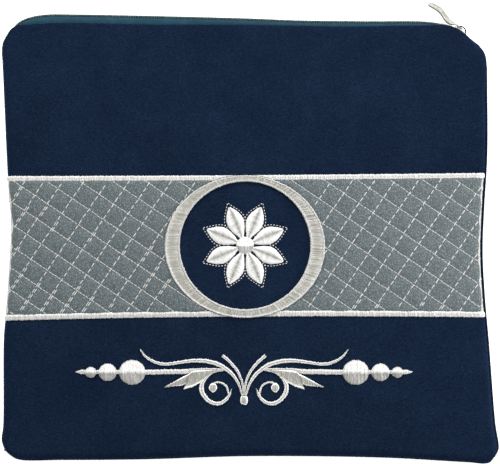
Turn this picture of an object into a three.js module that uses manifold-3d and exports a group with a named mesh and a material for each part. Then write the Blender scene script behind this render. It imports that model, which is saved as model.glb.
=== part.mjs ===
// A flat zipped bag lying on its back: X to the right, Y up the bag towards the zip, Z up from the floor.
// The origin is on the back panel's resting face. Sizes are in millimetres.
import * as THREE from "three";
import { mergeVertices } from "three/addons/utils/BufferGeometryUtils.js";
import Module from "manifold-3d";

const wasm = await Module();
wasm.setup();

// The bag
const HALF_WIDTH = 184.5; // half of the widest part, across the bottom corners
const HALF_HEIGHT = 163; // half of the panels' height, hem to bottom seam
const WALL = 1.8; // napped cloth with its backing
const SEAM_HEIGHT = 7; // the side and bottom seams above the floor
const SEAM_GAP = 0.3;
const FRONT_ROLL_RISE = 7.6; // the rounded edge of the front panel
const FRONT_ROLL_REACH = 7;
const BACK_ROLL_REACH = 8;
const CROWN_RISE = 12; // the soft dome of the front
const CROWN_FULLNESS = 2.2; // how soon the dome reaches its height
const BACK_HEM_SETBACK = 2.4; // how far the back panel's hem stays below the front's

// Shallow folds in the front cloth: where each lies, how long and wide it is and how far it turns
const FOLD_DEPTH = 1.4;
const FOLD_LENGTH = 46;
const FOLD_WIDTH = 15;
const FOLDS = [
  { across: -0.8, up: -0.84, turn: 0.8, depth: 1 },
  { across: 0.82, up: -0.86, turn: -0.85, depth: 0.9 },
  { across: -0.78, up: 0.8, turn: -0.7, depth: 0.7 },
  { across: 0.7, up: 0.78, turn: 0.55, depth: 0.8 },
  { across: 0.05, up: 0.78, turn: 0.1, depth: 0.6 },
];

// The band and its satin borders
const BAND_TOP = { left: 46.5, middle: 47, right: 49 }; // outer line of the top border
const BAND_BOTTOM = { left: -60.4, middle: -57, right: -58 };
const BAND_THICKNESS = 1;
const TOP_BORDER_WIDTH = 3.9;
const BOTTOM_BORDER_WIDTH = 4.3;
const BORDER_RELIEF = 1.4;
const SIDE_BORDER_WIDTH = 1.3;
const SIDE_BORDER_INSET = { left: 1.1, right: 2.2 }; // cloth left bare outside the side borders
const SIDE_BORDER_RELIEF = 0.98;
const LIFT = 0.35; // clearance under everything that lies on the front panel
const TRIM_GAP = 0.3; // clearance between neighbours on the front

// Sections of what is stitched: shares across or out from the middle, and shares of its relief
const BORDER_SECTION = [
  { share: 0, height: 0.5 },
  { share: 0.28, height: 1 },
  { share: 0.72, height: 1 },
  { share: 1, height: 0.5 },
];
const RIBBON_SECTION = [
  { share: 1, height: 0 },
  { share: 0.62, height: 0.8 },
  { share: 0, height: 1 },
  { share: -0.62, height: 0.8 },
  { share: -1, height: 0 },
];
const BEAD_SECTION = [
  { share: 1, height: 0 },
  { share: 0.92, height: 0.45 },
  { share: 0.62, height: 0.85 },
  { share: 0.02, height: 1 },
];

// The medallion
const RING_INNER = { x: -3.6, y: -4.7, halfWidth: 48.1, halfHeight: 47 };
const RING_OUTER = { x: -3.7, y: -5.5, halfWidth: 59, halfHeight: 52.4 };
const RING_RELIEF = 1.9;
const RING_SIDES = 40;
const RING_SECTION = [
  { share: 0, height: 0.35 },
  { share: 0.22, height: 0.9 },
  { share: 0.6, height: 1 },
  { share: 1, height: 0.35 },
];
const PETALS = 8;
const PETAL_START = 4.5;
const PETAL_LENGTH = 26;
const PETAL_WIDTH = 12.5;
const PETAL_ROOT = 0.18; // share of its width at its root
const PETAL_FULLNESS = 1.15; // how far out the petal is widest
const PETAL_TIP = 0.4; // share of the root's width at its tip
const PETAL_RELIEF = 1.5;
const PETAL_SEGMENTS = 5;
const BOSS_RADIUS = 6.5;
const BOSS_RELIEF = 2;
const BOSS_SIDES = 20;

// The scroll below the band, drawn for one side and mirrored about its middle line
const SCROLL_MIDDLE = { x: -4.4, y: -98.3 };
const SCROLL_REACH = 124; // middle line to the tip of the bar
const SCROLL_RELIEF = 1.3;
const SCROLL_SEGMENTS = { bar: 12, tendril: 14, vee: 6, volute: 14 };
const LEAF_RELIEF = 0.975;
const BEAD_RELIEF = 2.4;
const BEAD_SIDES = 18;
const DROP_SIDES = 12;
const BEADS = [
  { out: 0.914, up: 0, radius: 0.033 },
  { out: 0.812, up: 0, radius: 0.0531 },
  { out: 0.666, up: 0, radius: 0.0765 },
];
const RIBBONS = {
  bar: [
    { out: 1, up: 0.002, width: 0.007 },
    { out: 0.9, up: 0, width: 0.014 },
    { out: 0.74, up: 0, width: 0.024 },
    { out: 0.587, up: 0.002, width: 0.028 },
    { out: 0.337, up: 0.01, width: 0.026 },
    { out: 0.2, up: 0.0155, width: 0.02 },
    { out: 0.108, up: 0.016, width: 0.013 },
  ],
  tendril: [
    { out: 0.62, up: 0.138, width: 0.008 },
    { out: 0.58, up: 0.089, width: 0.014 },
    { out: 0.513, up: 0.0575, width: 0.021 },
    { out: 0.414, up: 0.0555, width: 0.026 },
    { out: 0.32, up: 0.074, width: 0.025 },
    { out: 0.208, up: 0.0655, width: 0.027 },
    { out: 0.115, up: 0.0345, width: 0.027 },
    { out: 0.05, up: -0.012, width: 0.024 },
    { out: 0.026, up: -0.066, width: 0.02 },
    { out: 0.0125, up: -0.132, width: 0.013 },
  ],
  vee: [
    { out: 0.133, up: 0.107, width: 0.02 },
    { out: 0.093, up: 0.077, width: 0.021 },
    { out: 0.056, up: 0.032, width: 0.02 },
    { out: 0.0262, up: -0.026, width: 0.018 },
    { out: 0.0125, up: -0.085, width: 0.014 },
  ],
  volute: [
    { out: 0.117, up: 0.014, width: 0.018 },
    { out: 0.18, up: 0, width: 0.024 },
    { out: 0.223, up: -0.0345, width: 0.028 },
    { out: 0.25, up: -0.079, width: 0.028 },
    { out: 0.2525, up: -0.125, width: 0.028 },
    { out: 0.228, up: -0.165, width: 0.026 },
    { out: 0.193, up: -0.186, width: 0.024 },
    { out: 0.149, up: -0.186, width: 0.021 },
    { out: 0.106, up: -0.153, width: 0.016 },
    { out: 0.072, up: -0.1, width: 0.007 },
  ],
};
const LEAF = [
  { out: 0.335, up: -0.004 },
  { out: 0.388, up: -0.037 },
  { out: 0.48, up: -0.088 },
  { out: 0.42, up: -0.082 },
  { out: 0.365, up: -0.071 },
  { out: 0.376, up: -0.107 },
  { out: 0.33, up: -0.091 },
  { out: 0.288, up: -0.067 },
  { out: 0.236, up: -0.043 },
  { out: 0.212, up: -0.002 },
];
const SIDE_DROP = { out: 0.189, up: -0.0985, radius: 0.0225 };
const MIDDLE_DROP = { out: 0, up: -0.171, radius: 0.021 };
const DROP_STRETCH = 1.25;

// The zip, whose chain stands on edge along the top
const ZIP_HEIGHT = 7.9; // its middle above the floor
const CHAIN_WIDTH = 5.2;
const CHAIN_THICKNESS = 2.2;
const CHAIN_BEVEL = 0.6;
const CHAIN_STATIONS = 40; // along the top
const CHAIN_END_STATIONS = 6; // in its last bend and in the slider
const CHAIN_END_SHARE = 0.955;
const CHAIN_ENTRY = [1.35, 1, 0.5, 0]; // where it lines up with the slider, in half slider lengths
const TAPE_THICKNESS = 0.8;
const TAPE_GAP = 0.5; // clearance between a tape and the chain
const TAPE_TUCK = 7; // how far a tape runs in under its panel
const TAPE_LEFT = -0.934; // ends of the tapes, as shares of the half width
const TAPE_RIGHT = 0.79;
const TAPE_STATIONS = 22;
const TAPE_CROWDING = 0.8; // stations stand closer at the left, where the zip bends
const FRONT_TAPE_HEIGHT = 11.6; // where it runs under the front panel's hem
const BACK_TAPE_HEIGHT = 2.6; // where it runs over the back panel
const TAPE_EDGE = 1.6; // each tape's edge by the chain, above or below the zip's middle
const FRONT_TAPE = [
  { down: 1, turned: 0, lean: 0 },
  { down: 0.55, turned: 0, lean: 0 },
  { down: 0.2, turned: 0.07, lean: 0.25 },
  { down: 0.06, turned: 0.43, lean: 0.9 },
  { down: 0, turned: 1, lean: 1.5 },
];
const BACK_TAPE = [
  { down: 1, turned: 0, lean: 0 },
  { down: 0.5, turned: 0.03, lean: -0.1 },
  { down: 0.2, turned: 0.22, lean: -0.5 },
  { down: 0.06, turned: 0.57, lean: -1.1 },
  { down: 0, turned: 1, lean: -1.5 },
];
const CHAIN_PATH = [
  { across: -0.9395, up: 0.9655 },
  { across: -0.9265, up: 0.9795 },
  { across: -0.9044, up: 0.9933 },
  { across: -0.8784, up: 1.0033 },
  { across: -0.8186, up: 1.0142 },
  { across: -0.7, up: 1.0147 },
  { across: -0.365, up: 1.0074 },
  { across: 0, up: 0.9965 },
  { across: 0.1925, up: 0.9879 },
  { across: 0.4492, up: 0.9842 },
  { across: 0.6778, up: 0.9838 },
  { across: 0.722, up: 0.98 },
  { across: 0.756, up: 0.9745 },
];

// The slider, its bail and the pull
const SLIDER_INSET = { right: 29.5, top: 10.5 }; // its middle, in from the half width and the half height
const SLIDER = { x: HALF_WIDTH - SLIDER_INSET.right, y: HALF_HEIGHT - SLIDER_INSET.top, turn: -0.628 };
const SLIDER_LENGTH = 11;
const SLIDER_WIDTH = 8.4;
const SLIDER_REAR_WIDTH = 6.4;
// Its plan, in shares of its half length: where the narrow part ends, the flare, and where the corners start
const SLIDER_PLAN = { waist: 0.1, flare: 0.5, corner: 0.8 };
const SLIDER_CORNERS = { rear: 0.7, mouth: 0.6 }; // where they end, in shares of the half widths
const PLATE_THICKNESS = 1.1;
const PLATE_BEVEL = 0.25;
const CHAIN_CLEARANCE = 0.35;
const POST_LENGTH = 2.2;
const POST_WIDTH = 2.6;
const POST_INSET = 1; // from the slider's mouth
const BAIL_SPAN = 8.3;
const BAIL_RISE = 3.2;
const BAIL_THICKNESS = 0.9;
const BAIL_WIDTH = 2.4;
const BAIL_SEGMENTS = 9;
const HINGE_HEIGHT = 1.05; // above the slider's outer plate
const EYE_BAR = 0.9;
const EYE_LENGTH = 4.7; // hinge line to the far end of the pull's eye
const EYE_WIDTH = 3.4;
const PULL_THICKNESS = 1;
const PULL_DROP = 3.2; // how much lower its tip hangs
const PULL_LENGTH = 31.4;
const PULL_WIDTH = 6.4;
const PULL_TWIST = 0.62;
const PULL = [
  { along: -0.0143, wide: 0.82, rise: 0, twist: 0 },
  { along: 0.085, wide: 0.82, rise: 0, twist: 0 },
  { along: 0.17, wide: 0.84, rise: -0.001, twist: 0 },
  { along: 0.22, wide: 0.88, rise: -0.012, twist: 0.35 },
  { along: 0.29, wide: 0.94, rise: -0.031, twist: 0.8 },
  { along: 0.395, wide: 1, rise: -0.026, twist: 1 },
  { along: 0.497, wide: 1, rise: 0.002, twist: 1 },
  { along: 0.6, wide: 1, rise: 0.042, twist: 1 },
  { along: 0.68, wide: 1, rise: 0.06, twist: 1 },
  { along: 0.783, wide: 0.98, rise: 0.061, twist: 1 },
  { along: 0.895, wide: 0.94, rise: 0.049, twist: 1 },
  { along: 0.965, wide: 0.82, rise: 0.033, twist: 1 },
  { along: 1, wide: 0.5, rise: 0.025, twist: 1 },
];

// The seam line, as four sides read from the left and from the bottom
const LEFT_SIDE = [
  { across: -0.9847, up: -0.9602 },
  { across: -0.9975, up: -0.9125 },
  { across: -0.9911, up: -0.849 },
  { across: -0.9887, up: -0.454 },
  { across: -0.9802, up: -0.336 },
  { across: -0.9658, up: -0.1 },
  { across: -0.9586, up: 0.0726 },
  { across: -0.9678, up: 0.1907 },
  { across: -0.9762, up: 0.3632 },
  { across: -0.9943, up: 0.8126 },
  { across: -0.9967, up: 0.849 },
  { across: -0.9923, up: 0.8921 },
  { across: -0.9735, up: 0.9325 },
];
const RIGHT_SIDE = [
  { across: 0.9847, up: -0.9874 },
  { across: 0.9987, up: -0.9534 },
  { across: 0.9847, up: -0.8308 },
  { across: 0.9586, up: -0.454 },
  { across: 0.9425, up: -0.2452 },
  { across: 0.9345, up: -0.0499 },
  { across: 0.9401, up: 0.1271 },
  { across: 0.953, up: 0.3813 },
  { across: 0.953, up: 0.6492 },
  { across: 0.9498, up: 0.8099 },
  { across: 0.9425, up: 0.8444 },
  { across: 0.9225, up: 0.8785 },
];
const BOTTOM_SIDE = [
  { across: -0.9847, up: -0.9602 },
  { across: -0.9642, up: -0.9806 },
  { across: -0.9325, up: -1.0015 },
  { across: -0.746, up: -1.0042 },
  { across: -0.4272, up: -1.0015 },
  { across: 0, up: -0.987 },
  { across: 0.5435, up: -0.9942 },
  { across: 0.8623, up: -1.0138 },
  { across: 0.9586, up: -1.0178 },
  { across: 0.9847, up: -0.9874 },
];
const TOP_SIDE = [
  { across: -0.9735, up: 0.9325 },
  { across: -0.954, up: 0.956 },
  { across: -0.9345, up: 0.9684 },
  { across: -0.88, up: 0.9729 },
  { across: -0.7633, up: 0.9797 },
  { across: -0.365, up: 0.9729 },
  { across: 0, up: 0.967 },
  { across: 0.1925, up: 0.9606 },
  { across: 0.385, up: 0.9693 },
  { across: 0.6377, up: 0.9765 },
  { across: 0.7982, up: 0.9693 },
  { across: 0.8302, up: 0.9547 },
  { across: 0.8704, up: 0.922 },
  { across: 0.9225, up: 0.8785 },
];

// Where the panels' grid has its lines, in millimetres from an edge that rolls over, and as shares between
const ROLL_STOPS = [0, 0.12, 0.45, 1]; // shares of a roll's reach
const FRONT_COLUMNS = [0.036, 0.068, 0.108, 0.156, 0.212, 0.275, 0.345, 0.42, 0.5];
const FRONT_ROWS_BELOW = [0.04, 0.075, 0.12, 0.17, 0.225, 0.285, 0.345, 0.41, 0.48];
const FRONT_ROWS_ABOVE = [0.55, 0.62, 0.69, 0.755, 0.815, 0.87, 0.915, 0.95, 0.977, 0.994, 1];
const BACK_COLUMNS = [0.05, 0.12, 0.22, 0.345, 0.5];
const BACK_ROWS_BELOW = [0.05, 0.12, 0.225, 0.345, 0.48];
const BACK_ROWS_ABOVE = [0.62, 0.755, 0.87, 0.95, 1];

const point = ({ across, up }) => new THREE.Vector3(across * HALF_WIDTH, up * HALF_HEIGHT, 0);
const curveThrough = (table) => new THREE.CatmullRomCurve3(table.map(point), false, "centripetal");
const left = curveThrough(LEFT_SIDE);
const right = curveThrough(RIGHT_SIDE);
const bottom = curveThrough(BOTTOM_SIDE);
const top = curveThrough(TOP_SIDE);
const WIDTH = bottom.getLength();
const HEIGHT = left.getLength();
const clamp = THREE.MathUtils.clamp;

// The plan position at shares u from the left and v from the bottom: a patch spanned by the four sides.
function planAt(u, v) {
  const [b, t] = [bottom.getPointAt(u), top.getPointAt(u)];
  const [l, r] = [left.getPointAt(v), right.getPointAt(v)];
  const [b0, b1, t0, t1] = [bottom.getPointAt(0), bottom.getPointAt(1), top.getPointAt(0), top.getPointAt(1)];
  const sides = b.lerp(t, v).add(l.lerp(r, u));
  return sides.sub(b0.lerp(b1, u).lerp(t0.lerp(t1, u), v));
}

const quarterRound = (share) => Math.sqrt(1 - (1 - clamp(share, 0, 1)) ** 2);
const crown = (share) => 1 - (1 - clamp(share, 0, 1)) ** CROWN_FULLNESS;

function foldsAt(x, y) {
  let sink = 0;
  for (const fold of FOLDS) {
    const [dx, dy] = [x - fold.across * HALF_WIDTH, y - fold.up * HALF_HEIGHT];
    const along = dx * Math.cos(fold.turn) + dy * Math.sin(fold.turn);
    const aside = dy * Math.cos(fold.turn) - dx * Math.sin(fold.turn);
    sink += fold.depth * Math.exp(-((along / FOLD_LENGTH) ** 2) - (aside / FOLD_WIDTH) ** 2);
  }
  return sink * FOLD_DEPTH;
}

// The front panel's outer face.
function frontFace(u, v) {
  const face = planAt(u, v);
  const [fromSide, fromBottom, fromTop] = [Math.min(u, 1 - u) * WIDTH, v * HEIGHT, (1 - v) * HEIGHT];
  const roll = quarterRound(fromSide / FRONT_ROLL_REACH) * quarterRound(fromBottom / FRONT_ROLL_REACH);
  const dome = crown((2 * fromSide) / WIDTH) * crown((2 * Math.min(fromBottom, fromTop)) / HEIGHT);
  const sink = foldsAt(face.x, face.y) * roll * crown((4 * fromSide) / WIDTH);
  face.z = SEAM_HEIGHT + FRONT_ROLL_RISE * roll + CROWN_RISE * dome - sink;
  return face;
}

// The back panel's outer face, which rests on the floor.
function backFace(u, v) {
  const face = planAt(u, v * (1 - BACK_HEM_SETBACK / HEIGHT));
  const [fromSide, fromBottom] = [Math.min(u, 1 - u) * WIDTH, v * HEIGHT];
  const roll = quarterRound(fromSide / BACK_ROLL_REACH) * quarterRound(fromBottom / BACK_ROLL_REACH);
  face.z = (SEAM_HEIGHT - SEAM_GAP) * (1 - roll);
  return face;
}

// The upward normal of a face, read a little inside its edges.
const NUDGE = 0.0005;
function normalOf(face, u, v) {
  const [a, b] = [clamp(u, NUDGE, 1 - NUDGE), clamp(v, NUDGE, 1 - NUDGE)];
  const alongU = face(a + NUDGE, b).sub(face(a - NUDGE, b));
  const alongV = face(a, b + NUDGE).sub(face(a, b - NUDGE));
  return alongU.cross(alongV).normalize();
}

const lifted = (face, u, v, lift) => face(u, v).addScaledVector(normalOf(face, u, v), lift);

function geometryFrom(points, index) {
  const geometry = new THREE.BufferGeometry();
  const numbers = points.flatMap((p) => [p.x, p.y, p.z]);
  geometry.setAttribute("position", new THREE.Float32BufferAttribute(numbers, 3));
  geometry.setIndex(index);
  return geometry;
}

// A closed geometry between an upper and a lower grid of points, rows of the same length.
function slab(upper, lower) {
  const [rows, columns] = [upper.length, upper[0].length];
  const at = (sheet, row, column) => (sheet * rows + row) * columns + column;
  const index = [];
  const quad = (a, b, c, d) => index.push(a, b, c, a, c, d);
  for (let r = 0; r < rows - 1; r++)
    for (let c = 0; c < columns - 1; c++) {
      quad(at(0, r, c), at(0, r, c + 1), at(0, r + 1, c + 1), at(0, r + 1, c));
      quad(at(1, r, c), at(1, r + 1, c), at(1, r + 1, c + 1), at(1, r, c + 1));
    }
  for (let c = 0; c < columns - 1; c++) {
    quad(at(0, 0, c + 1), at(0, 0, c), at(1, 0, c), at(1, 0, c + 1));
    quad(at(0, rows - 1, c), at(0, rows - 1, c + 1), at(1, rows - 1, c + 1), at(1, rows - 1, c));
  }
  for (let r = 0; r < rows - 1; r++) {
    quad(at(0, r, 0), at(0, r + 1, 0), at(1, r + 1, 0), at(1, r, 0));
    quad(at(0, r + 1, columns - 1), at(0, r, columns - 1), at(1, r, columns - 1), at(1, r + 1, columns - 1));
  }
  return geometryFrom([...upper.flat(), ...lower.flat()], index);
}

// A closed geometry swept through rings of points, each ring read the same way round.
function sweep(rings) {
  const sides = rings[0].length;
  const index = [];
  for (let i = 0; i < rings.length - 1; i++)
    for (let k = 0; k < sides; k++) {
      const [a, b] = [i * sides + k, i * sides + ((k + 1) % sides)];
      index.push(a, b, b + sides, a, b + sides, a + sides);
    }
  const last = (rings.length - 1) * sides;
  for (let k = 1; k < sides - 1; k++) index.push(0, k + 1, k, last, last + k, last + k + 1);
  return geometryFrom(rings.flat(), index);
}

// A closed loop through rings of points.
function loop(rings) {
  const sides = rings[0].length;
  const index = [];
  rings.forEach((_, i) => {
    const next = ((i + 1) % rings.length) * sides;
    for (let k = 0; k < sides; k++) {
      const far = (k + 1) % sides;
      index.push(i * sides + k, i * sides + far, next + far, i * sides + k, next + far, next + k);
    }
  });
  return geometryFrom(rings.flat(), index);
}

// Solids for joining and cutting, and back to a geometry.
function solidOf(geometry) {
  const bare = geometry.clone();
  bare.deleteAttribute("normal");
  bare.deleteAttribute("uv");
  const merged = mergeVertices(bare, 1e-4);
  const triVerts = Uint32Array.from(merged.index.array);
  const vertProperties = Float32Array.from(merged.attributes.position.array);
  return new wasm.Manifold(new wasm.Mesh({ numProp: 3, vertProperties, triVerts }));
}

function geometryOf(solid) {
  const mesh = solid.getMesh();
  const geometry = new THREE.BufferGeometry();
  geometry.setAttribute("position", new THREE.BufferAttribute(mesh.vertProperties, 3));
  geometry.setIndex(new THREE.BufferAttribute(mesh.triVerts, 1));
  return geometry;
}

const joined = (geometries) => geometryOf(geometries.map(solidOf).reduce((whole, piece) => whole.add(piece)));

// Grid lines of a panel.
const rollLines = (reach, length) => ROLL_STOPS.map((stop) => (stop * reach) / length);
const columnLines = (reach, stops) => {
  const half = [...rollLines(reach, WIDTH), ...stops];
  return [...half, ...half.slice(0, -1).reverse().map((u) => 1 - u)];
};
const frontColumns = columnLines(FRONT_ROLL_REACH, FRONT_COLUMNS);
const frontRows = [...rollLines(FRONT_ROLL_REACH, HEIGHT), ...FRONT_ROWS_BELOW, ...FRONT_ROWS_ABOVE];
const backColumns = columnLines(BACK_ROLL_REACH, BACK_COLUMNS);
const backRows = [...rollLines(BACK_ROLL_REACH, HEIGHT), ...BACK_ROWS_BELOW, ...BACK_ROWS_ABOVE];

function panel(face, columns, rows, inward, seam) {
  const outer = rows.map((v) => columns.map((u) => face(u, v)));
  const inner = rows.map((v) =>
    columns.map((u) => {
      const p = lifted(face, u, v, inward * WALL);
      if (u === 0 || u === 1 || v === 0) p.z = seam;
      return p;
    }),
  );
  return inward < 0 ? slab(outer, inner) : slab(inner, outer);
}

// The share v at which a column of the front panel reaches a height y.
const SEARCH_STEPS = 6;
function rowAt(u, y) {
  let v = 0.5;
  for (let i = 0; i < SEARCH_STEPS; i++) v = clamp(v + (y - planAt(u, v).y) / (2 * HALF_HEIGHT), 0, 1);
  return v;
}

// The height of the front face above a plan position.
function frontHeight(x, y) {
  let [u, v] = [0.5 + x / WIDTH, 0.5 + y / HEIGHT];
  for (let i = 0; i < SEARCH_STEPS; i++) {
    const p = planAt(u, v);
    u = clamp(u + (x - p.x) / (2 * HALF_WIDTH), 0, 1);
    v = clamp(v + (y - p.y) / (2 * HALF_HEIGHT), 0, 1);
  }
  return frontFace(u, v).z;
}

const onFront = (x, y, height) => new THREE.Vector3(x, y, frontHeight(x, y) + LIFT + height);

// A strip of the band's part of the front, between two lines across and two ends, with a height profile.
function frontStrip(lineLow, lineHigh, uStart, uEnd, profile) {
  const inside = frontColumns.filter((u) => u > uStart + NUDGE && u < uEnd - NUDGE);
  const columns = [uStart, ...inside, uEnd];
  const grid = (heightOf) =>
    profile.map(({ share, height }) =>
      columns.map((u) => {
        const x = planAt(u, 0.5).x / HALF_WIDTH;
        const y = THREE.MathUtils.lerp(lineLow(x), lineHigh(x), share);
        return lifted(frontFace, u, rowAt(u, y), LIFT + heightOf(height));
      }),
    );
  return slab(
    grid((height) => height),
    grid(() => 0),
  );
}

// A bowed line across the front, by its heights at the left, in the middle and at the right.
const bowedLine = (line, offset) => (x) => {
  const bow = (line.left + line.right) / 2 - line.middle;
  return line.middle + ((line.right - line.left) / 2) * x + bow * x * x + offset;
};
const FLAT_ROWS = [0, 0.17, 0.34, 0.5, 0.66, 0.83, 1];
const flatProfile = (height) => FLAT_ROWS.map((share) => ({ share, height }));
const scaled = (profile, relief) => profile.map(({ share, height }) => ({ share, height: height * relief }));

// An upright elliptical post, which cuts the ring's place out of the band.
function ellipsePost(ellipse, gap, sides) {
  const post = new THREE.CylinderGeometry(1, 1, 4 * CROWN_RISE, sides);
  post.rotateX(Math.PI / 2);
  post.scale(ellipse.halfWidth + gap, ellipse.halfHeight + gap, 1);
  return solidOf(post.translate(ellipse.x, ellipse.y, SEAM_HEIGHT + CROWN_RISE));
}

const ringPlace = ellipsePost(RING_OUTER, TRIM_GAP, RING_SIDES * 2);
const clearOfRing = (geometry) => geometryOf(solidOf(geometry).subtract(ringPlace));

function ring() {
  const rings = Array.from({ length: RING_SIDES }, (_, i) => {
    const turn = (i / RING_SIDES) * 2 * Math.PI;
    const edge = ({ x, y, halfWidth, halfHeight }) =>
      new THREE.Vector2(x + halfWidth * Math.cos(turn), y + halfHeight * Math.sin(turn));
    const [inner, outer] = [edge(RING_INNER), edge(RING_OUTER)];
    const over = RING_SECTION.map(({ share, height }) => {
      const p = inner.clone().lerp(outer, share);
      return onFront(p.x, p.y, height * RING_RELIEF);
    });
    return [...over, onFront(outer.x, outer.y, 0), onFront(inner.x, inner.y, 0)];
  });
  return loop(rings);
}

// A raised ribbon on the front along a plan curve, as wide at each point as widthAt says.
function ribbon(curve, widthAt, relief, segments) {
  const rings = [];
  for (let i = 0; i <= segments; i++) {
    const t = i / segments;
    const [p, along] = [curve.getPointAt(t), curve.getTangentAt(t)];
    const aside = new THREE.Vector2(-along.y, along.x).normalize().multiplyScalar(widthAt(t) / 2);
    const spot = ({ share, height }) => {
      const place = aside.clone().multiplyScalar(share).add(p);
      return onFront(place.x, place.y, height * relief);
    };
    rings.push(RIBBON_SECTION.map(spot));
  }
  return sweep(rings);
}

const scrollPlace = (side, { out, up }) =>
  new THREE.Vector3(SCROLL_MIDDLE.x + side * out * SCROLL_REACH, SCROLL_MIDDLE.y + up * SCROLL_REACH, 0);

function scrollRibbon(side, name) {
  const ordered = side > 0 ? RIBBONS[name] : [...RIBBONS[name]].reverse();
  const places = ordered.map((row) => scrollPlace(side, row));
  const curve = new THREE.CatmullRomCurve3(places, false, "centripetal");
  const widthAt = (t) => {
    const reached = curve.getUtoTmapping(t) * (ordered.length - 1);
    const k = Math.min(Math.floor(reached), ordered.length - 2);
    return THREE.MathUtils.lerp(ordered[k].width, ordered[k + 1].width, reached - k) * SCROLL_REACH;
  };
  return ribbon(curve, widthAt, SCROLL_RELIEF, SCROLL_SEGMENTS[name]);
}

// A low round or stretched dome on the front.
function bead(place, radius, stretch, relief, sides) {
  const rings = BEAD_SECTION.map(({ share, height }) =>
    Array.from({ length: sides }, (_, k) => {
      const turn = (k / sides) * 2 * Math.PI;
      const [dx, dy] = [share * radius * Math.cos(turn), share * radius * stretch * Math.sin(turn)];
      return onFront(place.x + dx, place.y + dy, height * relief);
    }),
  );
  return sweep(rings);
}

const drop = (side, { out, up, radius }) =>
  bead(scrollPlace(side, { out, up }), radius * SCROLL_REACH, DROP_STRETCH, SCROLL_RELIEF, DROP_SIDES);

function leaf(side) {
  const rows = side > 0 ? LEAF : [...LEAF].reverse();
  const places = rows.map((row) => scrollPlace(side, row));
  const shape = new THREE.Shape(places.map((p) => new THREE.Vector2(p.x, p.y)));
  const geometry = new THREE.ExtrudeGeometry(shape, { depth: LEAF_RELIEF, bevelEnabled: false });
  const spots = geometry.attributes.position;
  for (let i = 0; i < spots.count; i++) {
    const p = onFront(spots.getX(i), spots.getY(i), spots.getZ(i));
    spots.setXYZ(i, p.x, p.y, p.z);
  }
  return geometry;
}

function rosette() {
  const middle = new THREE.Vector2(RING_INNER.x, RING_INNER.y);
  const pieces = [bead(middle, BOSS_RADIUS, 1, BOSS_RELIEF, BOSS_SIDES)];
  const widthAt = (t) => {
    const full = PETAL_ROOT + (1 - PETAL_ROOT) * Math.sin(Math.PI * t ** PETAL_FULLNESS);
    return PETAL_WIDTH * full * (t < 1 ? 1 : PETAL_TIP);
  };
  for (let i = 0; i < PETALS; i++) {
    const turn = ((i + 0.5) / PETALS) * 2 * Math.PI;
    const away = new THREE.Vector3(Math.cos(turn), Math.sin(turn), 0);
    const start = new THREE.Vector3(middle.x, middle.y, 0).addScaledVector(away, PETAL_START);
    const curve = new THREE.LineCurve3(start, start.clone().addScaledVector(away, PETAL_LENGTH));
    pieces.push(ribbon(curve, widthAt, PETAL_RELIEF, PETAL_SEGMENTS));
  }
  return joined(pieces);
}

// The zip.
const beforeSlider = (distance) => ({
  across: (SLIDER.x - distance * Math.cos(SLIDER.turn)) / HALF_WIDTH,
  up: (SLIDER.y - distance * Math.sin(SLIDER.turn)) / HALF_HEIGHT,
});
const entry = CHAIN_ENTRY.map((share) => beforeSlider((share * SLIDER_LENGTH) / 2));
const chainPath = curveThrough([...CHAIN_PATH, ...entry]);

function chain() {
  const [w, h] = [CHAIN_WIDTH / 2, CHAIN_THICKNESS / 2];
  const section = [
    { up: -w, off: -h + CHAIN_BEVEL },
    { up: -w, off: h - CHAIN_BEVEL },
    { up: -w + CHAIN_BEVEL, off: h },
    { up: w - CHAIN_BEVEL, off: h },
    { up: w, off: h - CHAIN_BEVEL },
    { up: w, off: -h + CHAIN_BEVEL },
    { up: w - CHAIN_BEVEL, off: -h },
    { up: -w + CHAIN_BEVEL, off: -h },
  ];
  const shares = Array.from({ length: CHAIN_STATIONS }, (_, i) => (i / CHAIN_STATIONS) * CHAIN_END_SHARE);
  for (let i = 0; i <= CHAIN_END_STATIONS; i++)
    shares.push(THREE.MathUtils.lerp(CHAIN_END_SHARE, 1, i / CHAIN_END_STATIONS));
  const rings = shares.map((share) => {
    const [p, along] = [chainPath.getPointAt(share), chainPath.getTangentAt(share)];
    const away = new THREE.Vector3(-along.y, along.x, 0);
    return section.map(({ up, off }) => p.clone().addScaledVector(away, off).setZ(ZIP_HEIGHT + up));
  });
  return sweep(rings);
}

// The share of a curve's length at which it reaches a place across.
const HALVINGS = 24;
function shareAt(curve, x) {
  let [low, high] = [0, 1];
  for (let i = 0; i < HALVINGS; i++) {
    const middle = (low + high) / 2;
    if (curve.getPointAt(middle).x < x) low = middle;
    else high = middle;
  }
  return low;
}

// A tape from beside the chain to its place under a panel, through stops that each have a height and a lean.
function tape(stops) {
  const x0 = TAPE_LEFT * HALF_WIDTH;
  const x1 = TAPE_RIGHT * HALF_WIDTH;
  const columns = Array.from({ length: TAPE_STATIONS + 1 }, (_, i) => {
    const share = i / TAPE_STATIONS;
    return THREE.MathUtils.lerp(x0, x1, share * (1 - TAPE_CROWDING * (1 - share)));
  });
  const line = columns.map((x) => {
    const share = shareAt(chainPath, x);
    const beside = (CHAIN_THICKNESS + TAPE_THICKNESS) / 2 + TAPE_GAP;
    const chainLow = chainPath.getPointAt(share).y - beside / chainPath.getTangentAt(share).x;
    const hem = top.getPointAt(shareAt(top, x)).y;
    return { x, chainLow, tucked: Math.min(chainLow, hem) - TAPE_TUCK };
  });
  const grid = (side) =>
    stops.map(({ down, height, lean }) =>
      line.map(({ x, chainLow, tucked }) => {
        const y = THREE.MathUtils.lerp(chainLow, tucked, down);
        const half = (side * TAPE_THICKNESS) / 2;
        return new THREE.Vector3(x, y + half * Math.sin(lean), height + half * Math.cos(lean));
      }),
    );
  return slab(grid(1), grid(-1));
}

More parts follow.
